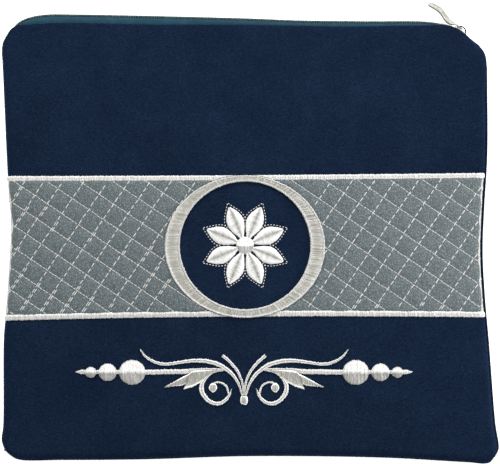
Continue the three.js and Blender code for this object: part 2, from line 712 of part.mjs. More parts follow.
// A tape's stops: the share of its way down, the share of its turn towards the chain, and its lean.
const tapeStops = (rows, flat, end) =>
  rows.map(({ down, turned, lean }) => ({ down, height: THREE.MathUtils.lerp(flat, end, turned), lean }));
const frontTape = () => tape(tapeStops(FRONT_TAPE, FRONT_TAPE_HEIGHT, ZIP_HEIGHT + TAPE_EDGE));
const backTape = () => tape(tapeStops(BACK_TAPE, BACK_TAPE_HEIGHT, ZIP_HEIGHT - TAPE_EDGE));

// The slider's own frame: X along the chain towards its end, Y across the zip to the floor, Z out of the bag.
const sliderFrame = new THREE.Matrix4()
  .makeTranslation(SLIDER.x, SLIDER.y, ZIP_HEIGHT)
  .multiply(new THREE.Matrix4().makeRotationZ(SLIDER.turn))
  .multiply(new THREE.Matrix4().makeRotationX(-Math.PI / 2));
const PLATE_FACE = CHAIN_THICKNESS / 2 + CHAIN_CLEARANCE + PLATE_THICKNESS;

function slider() {
  const [reach, wide, narrow] = [SLIDER_LENGTH / 2, SLIDER_WIDTH / 2, SLIDER_REAR_WIDTH / 2];
  const [waist, flare] = [SLIDER_PLAN.waist * reach, SLIDER_PLAN.flare * reach];
  const corner = SLIDER_PLAN.corner * reach;
  const [rearEnd, mouthEnd] = [SLIDER_CORNERS.rear * narrow, SLIDER_CORNERS.mouth * wide];
  const plan = new THREE.Shape();
  plan.moveTo(-reach, -rearEnd);
  plan.quadraticCurveTo(-reach, -narrow, -corner, -narrow);
  plan.lineTo(waist, -narrow);
  plan.quadraticCurveTo(flare, -wide, corner, -wide);
  plan.quadraticCurveTo(reach, -wide, reach, -mouthEnd);
  plan.lineTo(reach, mouthEnd);
  plan.quadraticCurveTo(reach, wide, corner, wide);
  plan.quadraticCurveTo(flare, wide, waist, narrow);
  plan.lineTo(-corner, narrow);
  plan.quadraticCurveTo(-reach, narrow, -reach, rearEnd);
  const options = {
    depth: PLATE_THICKNESS - 2 * PLATE_BEVEL,
    curveSegments: 3,
    bevelSize: PLATE_BEVEL,
    bevelThickness: PLATE_BEVEL,
    bevelOffset: -PLATE_BEVEL,
    bevelSegments: 1,
  };
  const plate = (low) => new THREE.ExtrudeGeometry(plan, options).translate(0, 0, low + PLATE_BEVEL);
  const post = new THREE.BoxGeometry(POST_LENGTH, POST_WIDTH, 2 * PLATE_FACE - PLATE_THICKNESS);
  post.translate(reach - POST_LENGTH / 2 - POST_INSET, 0, 0);
  const arch = new THREE.Shape();
  arch.absellipse(0, 0, BAIL_SPAN / 2, BAIL_RISE, 0, Math.PI);
  const hollow = new THREE.Path();
  const [span, rise] = [BAIL_SPAN / 2 - BAIL_THICKNESS, BAIL_RISE - BAIL_THICKNESS];
  const outline = arch.getPoints(BAIL_SEGMENTS);
  const inside = hollow.absellipse(0, 0, span, rise, 0, Math.PI).getPoints(BAIL_SEGMENTS).reverse();
  const foot = -PLATE_THICKNESS / 2;
  const bow = new THREE.Shape([
    new THREE.Vector2(BAIL_SPAN / 2, foot),
    ...outline,
    new THREE.Vector2(-BAIL_SPAN / 2, foot),
    new THREE.Vector2(-span, foot),
    ...inside,
    new THREE.Vector2(span, foot),
  ]);
  const bail = new THREE.ExtrudeGeometry(bow, { depth: BAIL_WIDTH, bevelEnabled: false });
  bail.translate(0, 0, -BAIL_WIDTH / 2).rotateX(Math.PI / 2).translate(0, 0, PLATE_FACE);
  const whole = joined([plate(PLATE_FACE - PLATE_THICKNESS), plate(-PLATE_FACE), post, bail]);
  return whole.applyMatrix4(sliderFrame);
}

// The pull, from its eye round the bail to its tip, lying back over the chain.
function pull() {
  const grid = (side) =>
    [-1, 0, 1].map((aside) =>
      PULL.map(({ along, wide, rise, twist }) => {
        const turn = twist * PULL_TWIST;
        const [off, half] = [(aside * wide * PULL_WIDTH) / 2, (side * PULL_THICKNESS) / 2];
        const drop = PULL_DROP * clamp(along, 0, 1);
        return new THREE.Vector3(
          -along * PULL_LENGTH,
          off * Math.cos(turn) - half * Math.sin(turn) + drop,
          rise * PULL_LENGTH + off * Math.sin(turn) + half * Math.cos(turn),
        );
      }),
    );
  const strip = slab(grid(-1), grid(1));
  const hole = new THREE.BoxGeometry(EYE_LENGTH - EYE_BAR / 2, EYE_WIDTH, 4 * PULL_THICKNESS);
  hole.translate(-(EYE_LENGTH + EYE_BAR / 2) / 2, 0, 0);
  const cut = geometryOf(solidOf(strip).subtract(solidOf(hole)));
  return cut.translate(0, 0, PLATE_FACE + HINGE_HEIGHT).applyMatrix4(sliderFrame);
}

// Finishes and the nodes.
const finish = (color, roughness, metalness = 0) =>
  new THREE.MeshStandardMaterial({ color, roughness, metalness });
const CLOTH = finish("#16263f", 0.95);
const LEATHERETTE = finish("#6f7b80", 0.55);
const SATIN = finish("#dcdbd4", 0.4);
const RING_SATIN = finish("#b8b6ab", 0.4);
const TAPE_CLOTH = finish("#3a6272", 0.85);
const COIL = finish("#24434d", 0.5);
const NICKEL = finish("#d0cec4", 0.25, 1);

const bag = new THREE.Group();
function addNode(name, geometry, material) {
  const mesh = new THREE.Mesh(geometry, material.clone());
  mesh.name = name;
  bag.add(mesh);
}

addNode("front_panel", panel(frontFace, frontColumns, frontRows, -1, SEAM_HEIGHT), CLOTH);
addNode("back_panel", panel(backFace, backColumns, backRows, 1, SEAM_HEIGHT - SEAM_GAP), CLOTH);

const bandEnds = {
  left: (SIDE_BORDER_INSET.left + SIDE_BORDER_WIDTH + TRIM_GAP) / WIDTH,
  right: 1 - (SIDE_BORDER_INSET.right + SIDE_BORDER_WIDTH + TRIM_GAP) / WIDTH,
};
const borderEnds = { left: SIDE_BORDER_INSET.left / WIDTH, right: 1 - SIDE_BORDER_INSET.right / WIDTH };
const halves = { left: [bandEnds.left, 0.5], right: [0.5, bandEnds.right] };
const borderHalves = { left: [borderEnds.left, 0.5], right: [0.5, borderEnds.right] };
const bandRows = flatProfile(BAND_THICKNESS);
const sideRows = flatProfile(SIDE_BORDER_RELIEF);
const borderRows = scaled(BORDER_SECTION, BORDER_RELIEF);
const bandLow = bowedLine(BAND_BOTTOM, BOTTOM_BORDER_WIDTH + TRIM_GAP);
const bandHigh = bowedLine(BAND_TOP, -TOP_BORDER_WIDTH - TRIM_GAP);
for (const side of ["left", "right"]) {
  const [start, end] = halves[side];
  addNode("band_" + side, clearOfRing(frontStrip(bandLow, bandHigh, start, end, bandRows)), LEATHERETTE);
  const [from, to] = borderHalves[side];
  const topInside = bowedLine(BAND_TOP, -TOP_BORDER_WIDTH);
  const upper = frontStrip(topInside, bowedLine(BAND_TOP, 0), from, to, borderRows);
  addNode("border_top_" + side, clearOfRing(upper), SATIN);
  const bottomInside = bowedLine(BAND_BOTTOM, BOTTOM_BORDER_WIDTH);
  const lower = frontStrip(bowedLine(BAND_BOTTOM, 0), bottomInside, from, to, borderRows);
  addNode("border_bottom_" + side, clearOfRing(lower), SATIN);
  const [outside, inward] = side === "left" ? [borderEnds.left, 1] : [borderEnds.right, -1];
  const inside = outside + (inward * SIDE_BORDER_WIDTH) / WIDTH;
  const strip = frontStrip(bandLow, bandHigh, Math.min(outside, inside), Math.max(outside, inside), sideRows);
  addNode("border_side_" + side, strip, SATIN);
}

addNode("medallion_ring", ring(), RING_SATIN);
addNode("medallion_rosette", rosette(), SATIN);

const SIDES = { left: -1, right: 1 };
for (const [side, sign] of Object.entries(SIDES)) {
  const beads = BEADS.map(({ out, up, radius }) =>
    bead(scrollPlace(sign, { out, up }), radius * SCROLL_REACH, 1, BEAD_RELIEF, BEAD_SIDES),
  );
  const ribbons = Object.keys(RIBBONS).map((name) => scrollRibbon(sign, name));
  addNode("scroll_" + side, joined([...ribbons, leaf(sign), ...beads]), SATIN);
  addNode("scroll_drop_" + side, drop(sign, SIDE_DROP), SATIN);
}
addNode("scroll_drop_centre", drop(1, MIDDLE_DROP), SATIN);

addNode("zip_tape_front", frontTape(), TAPE_CLOTH);
addNode("zip_tape_back", backTape(), TAPE_CLOTH);
addNode("zip_chain", chain(), COIL);
addNode("zip_slider", slider(), NICKEL);
addNode("zip_pull", pull(), NICKEL);

export default bag;
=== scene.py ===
"""A flat zipped bag of napped navy cloth, lying on its back, dressed over its fixed frame.

The shape formulas work in millimetres, in the frame's axes, and every mesh is written in metres.
"""

import logging
import math
from collections.abc import Callable, Sequence
from dataclasses import dataclass, field
from enum import Enum
from functools import partial

import bpy
import numpy as np
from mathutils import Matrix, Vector


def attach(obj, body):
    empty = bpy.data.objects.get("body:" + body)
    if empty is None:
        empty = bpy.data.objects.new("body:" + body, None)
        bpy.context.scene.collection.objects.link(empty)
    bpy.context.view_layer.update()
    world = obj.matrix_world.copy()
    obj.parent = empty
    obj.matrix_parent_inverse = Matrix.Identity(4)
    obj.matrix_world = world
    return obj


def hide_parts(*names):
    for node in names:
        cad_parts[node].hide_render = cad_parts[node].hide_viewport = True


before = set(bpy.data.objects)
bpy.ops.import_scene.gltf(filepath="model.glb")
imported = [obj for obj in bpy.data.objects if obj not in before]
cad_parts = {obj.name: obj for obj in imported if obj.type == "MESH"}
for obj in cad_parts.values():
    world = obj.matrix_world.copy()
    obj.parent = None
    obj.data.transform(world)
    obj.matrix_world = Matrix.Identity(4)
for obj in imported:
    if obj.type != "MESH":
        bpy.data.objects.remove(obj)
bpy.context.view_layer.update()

LOG = logging.getLogger("bag")
MM = 0.001
Array = np.ndarray
Place = Callable[[Array, Array], Array]
Relief = Callable[[Array], Array]
Socket = bpy.types.NodeSocket
Colour = tuple[float, float, float]


class Side(Enum):
    """The two halves of the bag's front."""

    LEFT = -1
    RIGHT = 1

    @property
    def label(self) -> str:
        """The half's name in a piece's name."""
        return self.name.lower()


class Slot(Enum):
    """The record's material slots."""

    CLOTH = "cloth"
    LEATHERETTE = "leatherette"
    SATIN = "satin_thread"
    RING = "ring_thread"
    TAPE = "tape"
    COIL = "coil"
    NICKEL = "nickel"


# Lines and the bag's form


class Line:
    """A smooth plan line through a table of points, read by its share of length."""

    STEPS = 80
    PROBE = 0.5

    def __init__(self, knots: Array) -> None:
        """Samples the line closely.

        Args:
            knots: The points it passes through, in millimetres, a row each.
        """
        ends = [2 * knots[0] - knots[1], *knots, 2 * knots[-1] - knots[-2]]
        spots, turns = [], []
        for k, (p0, p1, p2, p3) in enumerate(zip(ends, ends[1:], ends[2:], ends[3:])):
            d0, d1, d2 = (np.linalg.norm(b - a) ** 0.5 for a, b in ((p0, p1), (p1, p2), (p2, p3)))
            m1 = ((p1 - p0) / d0 - (p2 - p0) / (d0 + d1) + (p2 - p1) / d1) * d1
            m2 = ((p2 - p1) / d1 - (p3 - p1) / (d1 + d2) + (p3 - p2) / d2) * d1
            t = np.linspace(0, 1, self.STEPS, endpoint=False)[:, None]
            spots.append(
                (2 * t**3 - 3 * t**2 + 1) * p1
                + (t**3 - 2 * t**2 + t) * m1
                + (3 * t**2 - 2 * t**3) * p2
                + (t**3 - t**2) * m2
            )
            turns.append(k + t[:, 0])
        self.spots = np.concatenate([*spots, knots[-1:]])
        self.turns = np.concatenate([*turns, [len(knots) - 1]])
        steps = np.linalg.norm(np.diff(self.spots, axis=0), axis=1)
        self.along = np.concatenate(([0], np.cumsum(steps)))
        self.length = float(self.along[-1])

    def at(self, share: Array) -> Array:
        """The points at shares of the length, a row each."""
        way = np.clip(share, 0, 1) * self.length
        return np.stack([np.interp(way, self.along, self.spots[:, k]) for k in (0, 1)], axis=-1)

    def heading(self, share: Array) -> Array:
        """The unit directions at shares of the length, a row each."""
        nudge = self.PROBE / self.length
        step = self.at(np.minimum(share + nudge, 1)) - self.at(np.maximum(share - nudge, 0))
        return step / np.linalg.norm(step, axis=-1, keepdims=True)

    def knot_at(self, share: Array) -> Array:
        """How many of the table's rows are passed at shares of the length."""
        return np.interp(np.clip(share, 0, 1) * self.length, self.along, self.turns)

    def share_at_x(self, x: Array) -> Array:
        """The shares of the length at which a line that runs to the right reaches places across."""
        return np.interp(x, self.spots[:, 0], self.along) / self.length


def blend(a: Array, b: Array, share: Array) -> Array:
    """The values between a and b at a share of the way."""
    return a + (b - a) * share


def eased(share: Array) -> Array:
    """A share of the way that starts and ends softly."""
    return share**2 * (3 - 2 * share)


def square_to(ways: Array) -> Array:
    """The plan directions a quarter turn to the left of others."""
    return np.stack([-ways[..., 1], ways[..., 0]], -1)


def quarter_round(share: Array) -> Array:
    """The rise of a quarter circle at a share of its reach."""
    return np.sqrt(1 - (1 - np.clip(share, 0, 1)) ** 2)


def bump_at(distance: Array, reach: float) -> Array:
    """A soft bump of height 1 at distance 0, about as wide as its reach."""
    return np.exp(-((distance / reach) ** 2))


@dataclass
class BagForm:
    """The soft form of the bag: its outline, its domed front and its flat back.

    Its outline's tables give shares of the half width and the half height. A fold is a row of its
    place, as such shares, its turn in radians and its share of the full depth.
    """

    half_width: float = 184.5
    half_height: float = 163.0
    seam_height: float = 7.0
    seam_gap: float = 0.3
    seam_end: float = 6.5
    seam_fade: float = 18.0
    seam_draw: float = 0.76
    front_rise: float = 7.6
    front_reach: float = 7.0
    back_reach: float = 8.0
    crown_rise: float = 12.0
    crown_fullness: float = 2.2
    hem_setback: float = 2.4
    fold_depth: float = 1.4
    fold_length: float = 46.0
    fold_width: float = 15.0
    folds: tuple[tuple[float, float, float, float], ...] = (
        (-0.8, -0.84, 0.8, 1),
        (0.82, -0.86, -0.85, 0.9),
        (-0.78, 0.8, -0.7, 0.7),
        (0.7, 0.78, 0.55, 0.8),
        (0.05, 0.78, 0.1, 0.6),
    )
    ripple: float = 0.3
    ripple_across: tuple[float, float, float] = (23, 1.7, 37)
    ripple_up: tuple[float, float, float] = (19, 2.1, 51)
    band_top: tuple[float, float, float] = (46.5, 47.0, 49.0)
    band_bottom: tuple[float, float, float] = (-60.4, -57.0, -58.0)
    pucker: float = 0.4
    pucker_reach: float = 2.6
    pucker_swing: float = 0.3
    pucker_beat: tuple[float, float] = (2.3, 17)
    right_setback: float = 1.3
    setback_start: float = 0.92
    setback_span: float = 0.08
    corner_start: float = 0.87
    corner_span: float = 0.09
    search_rounds: int = 7
    probe: float = 0.0008
    left_table: tuple[tuple[float, float], ...] = (
        (-0.9847, -0.9602),
        (-0.9975, -0.9125),
        (-0.9911, -0.849),
        (-0.9887, -0.454),
        (-0.9802, -0.336),
        (-0.9658, -0.1),
        (-0.9586, 0.0726),
        (-0.9678, 0.1907),
        (-0.9762, 0.3632),
        (-0.9943, 0.8126),
        (-0.9967, 0.849),
        (-0.9923, 0.8921),
        (-0.9735, 0.9325),
    )
    right_table: tuple[tuple[float, float], ...] = (
        (0.9847, -0.9874),
        (0.9987, -0.9534),
        (0.9847, -0.8308),
        (0.9586, -0.454),
        (0.9425, -0.2452),
        (0.9345, -0.0499),
        (0.9401, 0.1271),
        (0.953, 0.3813),
        (0.953, 0.6492),
        (0.9498, 0.8099),
        (0.9425, 0.8444),
        (0.9225, 0.8785),
    )
    bottom_table: tuple[tuple[float, float], ...] = (
        (-0.9847, -0.9602),
        (-0.9642, -0.9806),
        (-0.9325, -1.0015),
        (-0.746, -1.0042),
        (-0.4272, -1.0015),
        (0, -0.987),
        (0.5435, -0.9942),
        (0.8623, -1.0138),
        (0.9586, -1.0178),
        (0.9847, -0.9874),
    )
    top_table: tuple[tuple[float, float], ...] = (
        (-0.9735, 0.9325),
        (-0.954, 0.956),
        (-0.9345, 0.9684),
        (-0.88, 0.9729),
        (-0.7633, 0.9797),
        (-0.365, 0.9729),
        (0, 0.971),
        (0.1925, 0.967),
        (0.385, 0.963),
        (0.6377, 0.9675),
        (0.7982, 0.9675),
        (0.8302, 0.9547),
        (0.8704, 0.922),
        (0.9225, 0.8785),
    )

    def __post_init__(self) -> None:
        """Draws the four sides."""
        self.left, self.right, self.bottom, self.top = (
            self.line(table)
            for table in (self.left_table, self.right_table, self.bottom_table, self.top_table)
        )
        self.width, self.height = self.bottom.length, self.left.length

    def line(self, table: Sequence[tuple[float, float]]) -> Line:
        """A line through a table of shares of the half width and the half height."""
        return Line(np.array(table) * (self.half_width, self.half_height))

    def plan(self, u: Array, v: Array) -> Array:
        """The plan places at shares from the left and from the bottom.

        Args:
            u: Shares from the left.
            v: Shares from the bottom.

        Returns:
            A row of x and y for each.
        """
        u1, v1 = u[..., None], v[..., None]
        sides = blend(self.bottom.at(u), self.top.at(u), v1)
        sides = sides + blend(self.left.at(v), self.right.at(v), u1)
        low = blend(self.bottom.spots[0], self.bottom.spots[-1], u1)
        high = blend(self.top.spots[0], self.top.spots[-1], u1)
        return sides - blend(low, high, v1)

    def crown(self, share: Array) -> Array:
        """How far the dome has risen at a share of the way from an edge to the middle."""
        return 1 - (1 - np.clip(share, 0, 1)) ** self.crown_fullness

    def creases(self, x: Array, y: Array) -> Array:
        """How far the front cloth sinks in its shallow folds and faint ripples.

        Args:
            x: Places across.
            y: Places up.

        Returns:
            The depth at each.
        """
        sink = np.zeros_like(x)
        for across, up, turn, depth in self.folds:
            dx, dy = x - across * self.half_width, y - up * self.half_height
            along = dx * math.cos(turn) + dy * math.sin(turn)
            aside = dy * math.cos(turn) - dx * math.sin(turn)
            sink += depth * bump_at(along, self.fold_length) * bump_at(aside, self.fold_width)
        run, bend, sway = self.ripple_across
        waves = np.sin(x / run + bend * np.sin(y / sway))
        run, bend, sway = self.ripple_up
        waves = waves + np.sin(y / run + bend * np.sin(x / sway + 1))
        return sink * self.fold_depth + waves * self.ripple

    def bowed(self, line: tuple[float, float, float], x: Array) -> Array:
        """The height of a bowed line across the front, by its left, middle and right heights."""
        low, middle, high = line
        share = x / self.half_width
        return middle + (high - low) / 2 * share + ((low + high) / 2 - middle) * share**2

    def puckers(self, x: Array, y: Array) -> Array:
        """How far the cloth is drawn in along the stitching of the band."""
        above, below = y - self.bowed(self.band_top, x), self.bowed(self.band_bottom, x) - y
        nearest = np.minimum(np.abs(above), np.abs(below))
        quick, slow = self.pucker_beat
        wave = 1 - self.pucker_swing + self.pucker_swing * np.sin(x / quick + 2 * np.sin(x / slow))
        return self.pucker * bump_at(nearest, self.pucker_reach) * wave

    def front_plan(self, u: Array, v: Array) -> Array:
        """The plan places of the front cloth, whose right edge stays inside the back's.

        Args:
            u: Shares from the left.
            v: Shares from the bottom.

        Returns:
            A row of x and y for each.
        """
        plan = self.plan(u, v)
        below_corner = 1 - np.clip((v - self.corner_start) / self.corner_span, 0, 1)
        near_edge = np.clip((u - self.setback_start) / self.setback_span, 0, 1)
        plan[..., 0] -= self.right_setback * near_edge**2 * below_corner
        return plan

    def apart(self, u: Array, high: Array) -> Array:
        """How far the panels stand apart, as a share of the full way.

        Args:
            u: Shares from the left.
            high: Ways down from the top edge.

        Returns:
            The shares, which are low at the corner beyond the zip's end, where the panels meet.
        """
        by_zip = np.clip(((1 - u) * self.width - self.seam_end) / self.seam_end, 0, 1)
        by_top = np.clip(1 - high / self.seam_fade, 0, 1) ** 1.5
        return 1 - self.seam_draw * (by_top * (1 - eased(by_zip)))

    def front(self, u: Array, v: Array) -> Array:
        """The front cloth's outer face.

        Args:
            u: Shares from the left.
            v: Shares from the bottom.

        Returns:
            A row of x, y and z for each.
        """
        plan = self.front_plan(u, v)
        side, low, high = np.minimum(u, 1 - u) * self.width, v * self.height, (1 - v) * self.height
        roll = quarter_round(side / self.front_reach) * quarter_round(low / self.front_reach)
        roll = roll * self.apart(u, high)
        dome = self.crown(2 * side / self.width) * self.crown(2 * np.minimum(low, high) / self.height)
        sink = self.creases(plan[..., 0], plan[..., 1]) * self.crown(4 * side / self.width)
        sink = sink + self.puckers(plan[..., 0], plan[..., 1])
        z = self.seam_height + self.front_rise * roll + self.crown_rise * dome - sink * roll
        return np.concatenate([plan, z[..., None]], axis=-1)

    def back(self, u: Array, v: Array) -> Array:
        """The back cloth's outer face, which rests on the floor.

        Args:
            u: Shares from the left.
            v: Shares from the bottom.

        Returns:
            A row of x, y and z for each.
        """
        plan = self.plan(u, v * (1 - self.hem_setback / self.height))
        side, low = np.minimum(u, 1 - u) * self.width, v * self.height
        roll = quarter_round(side / self.back_reach) * quarter_round(low / self.back_reach)
        roll = roll * self.apart(u, (1 - v) * self.height)
        z = (self.seam_height - self.seam_gap) * (1 - roll)
        return np.concatenate([plan, z[..., None]], axis=-1)

    def locate(self, x: Array, y: Array) -> tuple[Array, Array]:
        """The shares from the left and from the bottom of plan places."""
        u, v = 0.5 + x / self.width, 0.5 + y / self.height
        for _ in range(self.search_rounds):
            spot = self.front_plan(u, v)
            u = np.clip(u + (x - spot[..., 0]) / (2 * self.half_width), 0, 1)
            v = np.clip(v + (y - spot[..., 1]) / (2 * self.half_height), 0, 1)
        return u, v

    def on_front(self, spots: Array, height: Array) -> Array:
        """Points at heights above the front cloth, square to it.

        Args:
            spots: Plan places, a row each.
            height: Their heights above the cloth.

        Returns:
            A row of x, y and z for each.
        """
        u, v = self.locate(spots[..., 0], spots[..., 1])
        z = self.front(u, v)[..., 2]
        nudge = self.probe
        a, b = np.clip(u, nudge, 1 - nudge), np.clip(v, nudge, 1 - nudge)
        along_u = self.front(a + nudge, b) - self.front(a - nudge, b)
        along_v = self.front(a, b + nudge) - self.front(a, b - nudge)
        out = np.cross(along_u, along_v)
        out /= np.linalg.norm(out, axis=-1, keepdims=True)
        return np.concatenate([spots, z[..., None]], axis=-1) + out * np.asarray(height)[..., None]


# Mesh work

MERGE_REACH = 1e-7
CLOTH_ANGLE = 60
THREAD_ANGLE = 70
STITCH_ANGLE = 80
METAL_ANGLE = 35


def deselect() -> None:
    """Leaves nothing selected, in object mode."""
    if bpy.context.object and bpy.context.object.mode != "OBJECT":
        bpy.ops.object.mode_set(mode="OBJECT")
    bpy.ops.object.select_all(action="DESELECT")


def pick(piece: bpy.types.Object) -> None:
    """Leaves one piece selected and active, in object mode."""
    deselect()
    bpy.context.view_layer.objects.active = piece
    piece.select_set(True)


def named(name: str) -> bpy.types.Object:
    """The object just added, under a new name."""
    piece = bpy.context.object
    piece.name = piece.data.name = name
    return piece


def add_grid(name: str, columns: int, rows: int) -> bpy.types.Object:
    """Adds a flat grid whose points stand for shares from 0 to 1 both ways."""
    deselect()
    bpy.ops.mesh.primitive_grid_add(x_subdivisions=columns, y_subdivisions=rows, size=1)
    return named(name)


def points_of(piece: bpy.types.Object) -> Array:
    """The points of a mesh as written, a row each."""
    spots = np.zeros(len(piece.data.vertices) * 3, np.float32)
    piece.data.vertices.foreach_get("co", spots)
    return spots.reshape(-1, 3).astype(float)


def shares_of(piece: bpy.types.Object) -> tuple[Array, Array]:
    """The shares both ways that the points of a fresh grid stand for."""
    spots = points_of(piece) + 0.5
    return np.clip(spots[:, 0], 0, 1), np.clip(spots[:, 1], 0, 1)


def move_points(piece: bpy.types.Object, spots: Array) -> None:
    """Puts the points of a mesh at places in millimetres."""
    piece.data.vertices.foreach_set("co", (spots * MM).astype(np.float32).ravel())
    piece.data.update()


def lay_uv(piece: bpy.types.Object, along: Array, across: Array) -> None:
    """Gives each point its way along and across the thread, in millimetres, as the UV map."""
    corners = np.zeros(len(piece.data.loops), np.int32)
    piece.data.loops.foreach_get("vertex_index", corners)
    layer = piece.data.uv_layers.active or piece.data.uv_layers.new(name="UVMap")
    layer.data.foreach_set("uv", np.stack([along, across], 1)[corners].astype(np.float32).ravel())


def in_edit(piece: bpy.types.Object, select: bool = True) -> None:
    """Opens a piece in edit mode with all of it, or none of it, selected."""
    pick(piece)
    bpy.ops.object.mode_set(mode="EDIT")
    bpy.ops.mesh.select_all(action="SELECT" if select else "DESELECT")


def turn_out() -> None:
    """Turns all faces of the piece in edit mode outwards, and goes back to object mode."""
    bpy.ops.mesh.select_all(action="SELECT")
    bpy.ops.mesh.normals_make_consistent(inside=False)
    bpy.ops.object.mode_set(mode="OBJECT")


def turn_over(piece: bpy.types.Object) -> None:
    """Turns a sheet's outer face to its other side."""
    in_edit(piece)
    bpy.ops.mesh.flip_normals()
    bpy.ops.object.mode_set(mode="OBJECT")


def close_up(piece: bpy.types.Object, ends: bool = True) -> None:
    """Merges the seam of a wrapped grid, closes its ends and turns its faces outwards."""
    in_edit(piece)
    bpy.ops.mesh.remove_doubles(threshold=MERGE_REACH)
    if ends:
        bpy.ops.mesh.select_all(action="DESELECT")
        bpy.ops.mesh.select_mode(type="VERT")
        bpy.ops.mesh.select_non_manifold()
        bpy.ops.mesh.fill_holes(sides=0)
    turn_out()


def smooth(piece: bpy.types.Object, angle: float = 40) -> None:
    """Shades a piece smooth, but for edges sharper than an angle in degrees."""
    pick(piece)
    bpy.ops.object.shade_smooth_by_angle(angle=math.radians(angle))


def thicken(piece: bpy.types.Object, thickness: float, side: int = -1) -> None:
    """Gives a sheet its thickness, in millimetres: -1 away from its outer face, 0 both ways."""
    pick(piece)
    wall = piece.modifiers.new("wall", "SOLIDIFY")
    wall.thickness, wall.offset = thickness * MM, side
    bpy.ops.object.modifier_apply(modifier=wall.name)


def soften(piece: bpy.types.Object, width: float, segments: int, angle: float) -> None:
    """Rounds a piece's sharper edges.

    Args:
        piece: The piece.
        width: The rounding's width in millimetres.
        segments: How many faces it has across.
        angle: The least turn, in degrees, of an edge that is rounded.
    """
    pick(piece)
    edge = piece.modifiers.new("edge", "BEVEL")
    edge.width, edge.segments = width * MM, segments
    edge.limit_method, edge.angle_limit = "ANGLE", math.radians(angle)
    bpy.ops.object.modifier_apply(modifier=edge.name)


def dress(
    piece: bpy.types.Object,
    material: bpy.types.Material,
    nodes: Sequence[str] = (),
    body: str = "bag",
) -> bpy.types.Object:
    """Gives a finished piece its material, its body and the solids that it stands for.

    Args:
        piece: The piece.
        material: Its only material.
        nodes: The solids that it replaces.
        body: The body that it moves with.

    Returns:
        The piece.
    """
    piece.data.materials.clear()
    piece.data.materials.append(material)
    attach(piece, body)
    if nodes:
        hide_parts(*nodes)
    piece.data.calc_loop_triangles()
    LOG.info("%s: %d triangles", piece.name, len(piece.data.loop_triangles))
    return piece


# Finishes


class Weave:
    """A material being made from nodes."""

    def __init__(self, name: str, roughness: float, **sockets: object) -> None:
        """Starts a material whose surface-wide values stand on the shader's own sockets.

        Args:
            name: The material's name.
            roughness: Its roughness, where nothing else gives it.
            sockets: More of the shader's values, by socket, with underscores for spaces.
        """
        self.material = bpy.data.materials.new(name)
        self.material.use_nodes = True
        self.tree = self.material.node_tree
        self.shader = self.tree.nodes["Principled BSDF"]
        self.shader.inputs["Roughness"].default_value = roughness
        for socket, value in sockets.items():
            self.shader.inputs[socket.replace("_", " ")].default_value = value

    def add(
        self, kind: str, inputs: dict[str | int, object] | None = None, **settings: object
    ) -> bpy.types.Node:
        """Adds a node.

        Args:
            kind: The node's type, without its common prefix.
            inputs: Its sockets' values, or the sockets that feed them.
            settings: Its other settings.

        Returns:
            The node.
        """
        node = self.tree.nodes.new("ShaderNode" + kind)
        for setting, value in settings.items():
            setattr(node, setting, value)
        for socket, value in (inputs or {}).items():
            if isinstance(value, bpy.types.NodeSocket):
                self.tree.links.new(value, node.inputs[socket])
            else:
                node.inputs[socket].default_value = value
        return node

    def place(self, kind: str = "Object", scale: Sequence[float] = (1, 1, 1), turn: float = 0) -> Socket:
        """The piece's own coordinates, stretched and turned about Z."""
        source = self.add("TexCoord").outputs[kind]
        inputs = {"Vector": source, "Scale": scale, "Rotation": (0, 0, turn)}
        return self.add("Mapping", inputs).outputs["Vector"]

    def noise(
        self, vector: Socket, scale: float, detail: float = 2, rough: float = 0.5, warp: float = 0
    ) -> Socket:
        """A noise pattern's value."""
        inputs = {"Vector": vector, "Scale": scale, "Detail": detail, "Roughness": rough, "Distortion": warp}
        return self.add("TexNoise", inputs).outputs["Fac"]

    def math(self, operation: str, a: Socket | float, b: Socket | float = 0.0) -> Socket:
        """The result of a sum of two values."""
        return self.add("Math", {0: a, 1: b}, operation=operation).outputs[0]

    def wave(self, way: Socket, length: float) -> Socket:
        """A sine wave of a length along a coordinate."""
        return self.math("SINE", self.math("MULTIPLY", way, 2 * math.pi / length))

    def layered(self, *parts: tuple[Socket, float]) -> Socket:
        """The sum of patterns, each times its weight."""
        total = self.math("MULTIPLY", *parts[0])
        for value, weight in parts[1:]:
            total = self.math("ADD", total, self.math("MULTIPLY", value, weight))
        return total

    def ramp(self, value: Socket, stops: Sequence[tuple[float, Colour]]) -> Socket:
        """A colour for a value.

        Args:
            value: The socket that gives the value.
            stops: Values, each with its colour.

        Returns:
            The socket that gives the colour.
        """
        node = self.add("ValToRGB", {"Fac": value})
        ramp = node.color_ramp
        while len(ramp.elements) < len(stops):
            ramp.elements.new(0.5)
        for element, (place, colour) in zip(ramp.elements, stops):
            element.position, element.color = place, (*colour, 1)
        return node.outputs["Color"]

    def remap(
        self, value: Socket, low: float, high: float, to_low: float = 0, to_high: float = 1
    ) -> Socket:
        """A value carried from one range to another, held within it."""
        inputs = {"Value": value, 1: low, 2: high, 3: to_low, 4: to_high}
        return self.add("MapRange", inputs).outputs["Result"]

    def finish(
        self, colour: Socket, height: Socket, depth: float, roughness: Socket | None = None
    ) -> bpy.types.Material:
        """Joins the patterns to the shader.

        Args:
            colour: The socket that gives the colour.
            height: The socket that gives the relief.
            depth: The relief's full depth in millimetres.
            roughness: The socket that gives the roughness, if it varies.

        Returns:
            The material.
        """
        self.tree.links.new(colour, self.shader.inputs["Base Color"])
        bump = self.add("Bump", {"Height": height, "Distance": depth * MM, "Strength": 1.0})
        self.tree.links.new(bump.outputs["Normal"], self.shader.inputs["Normal"])
        if roughness is not None:
            self.tree.links.new(roughness, self.shader.inputs["Roughness"])
        return self.material


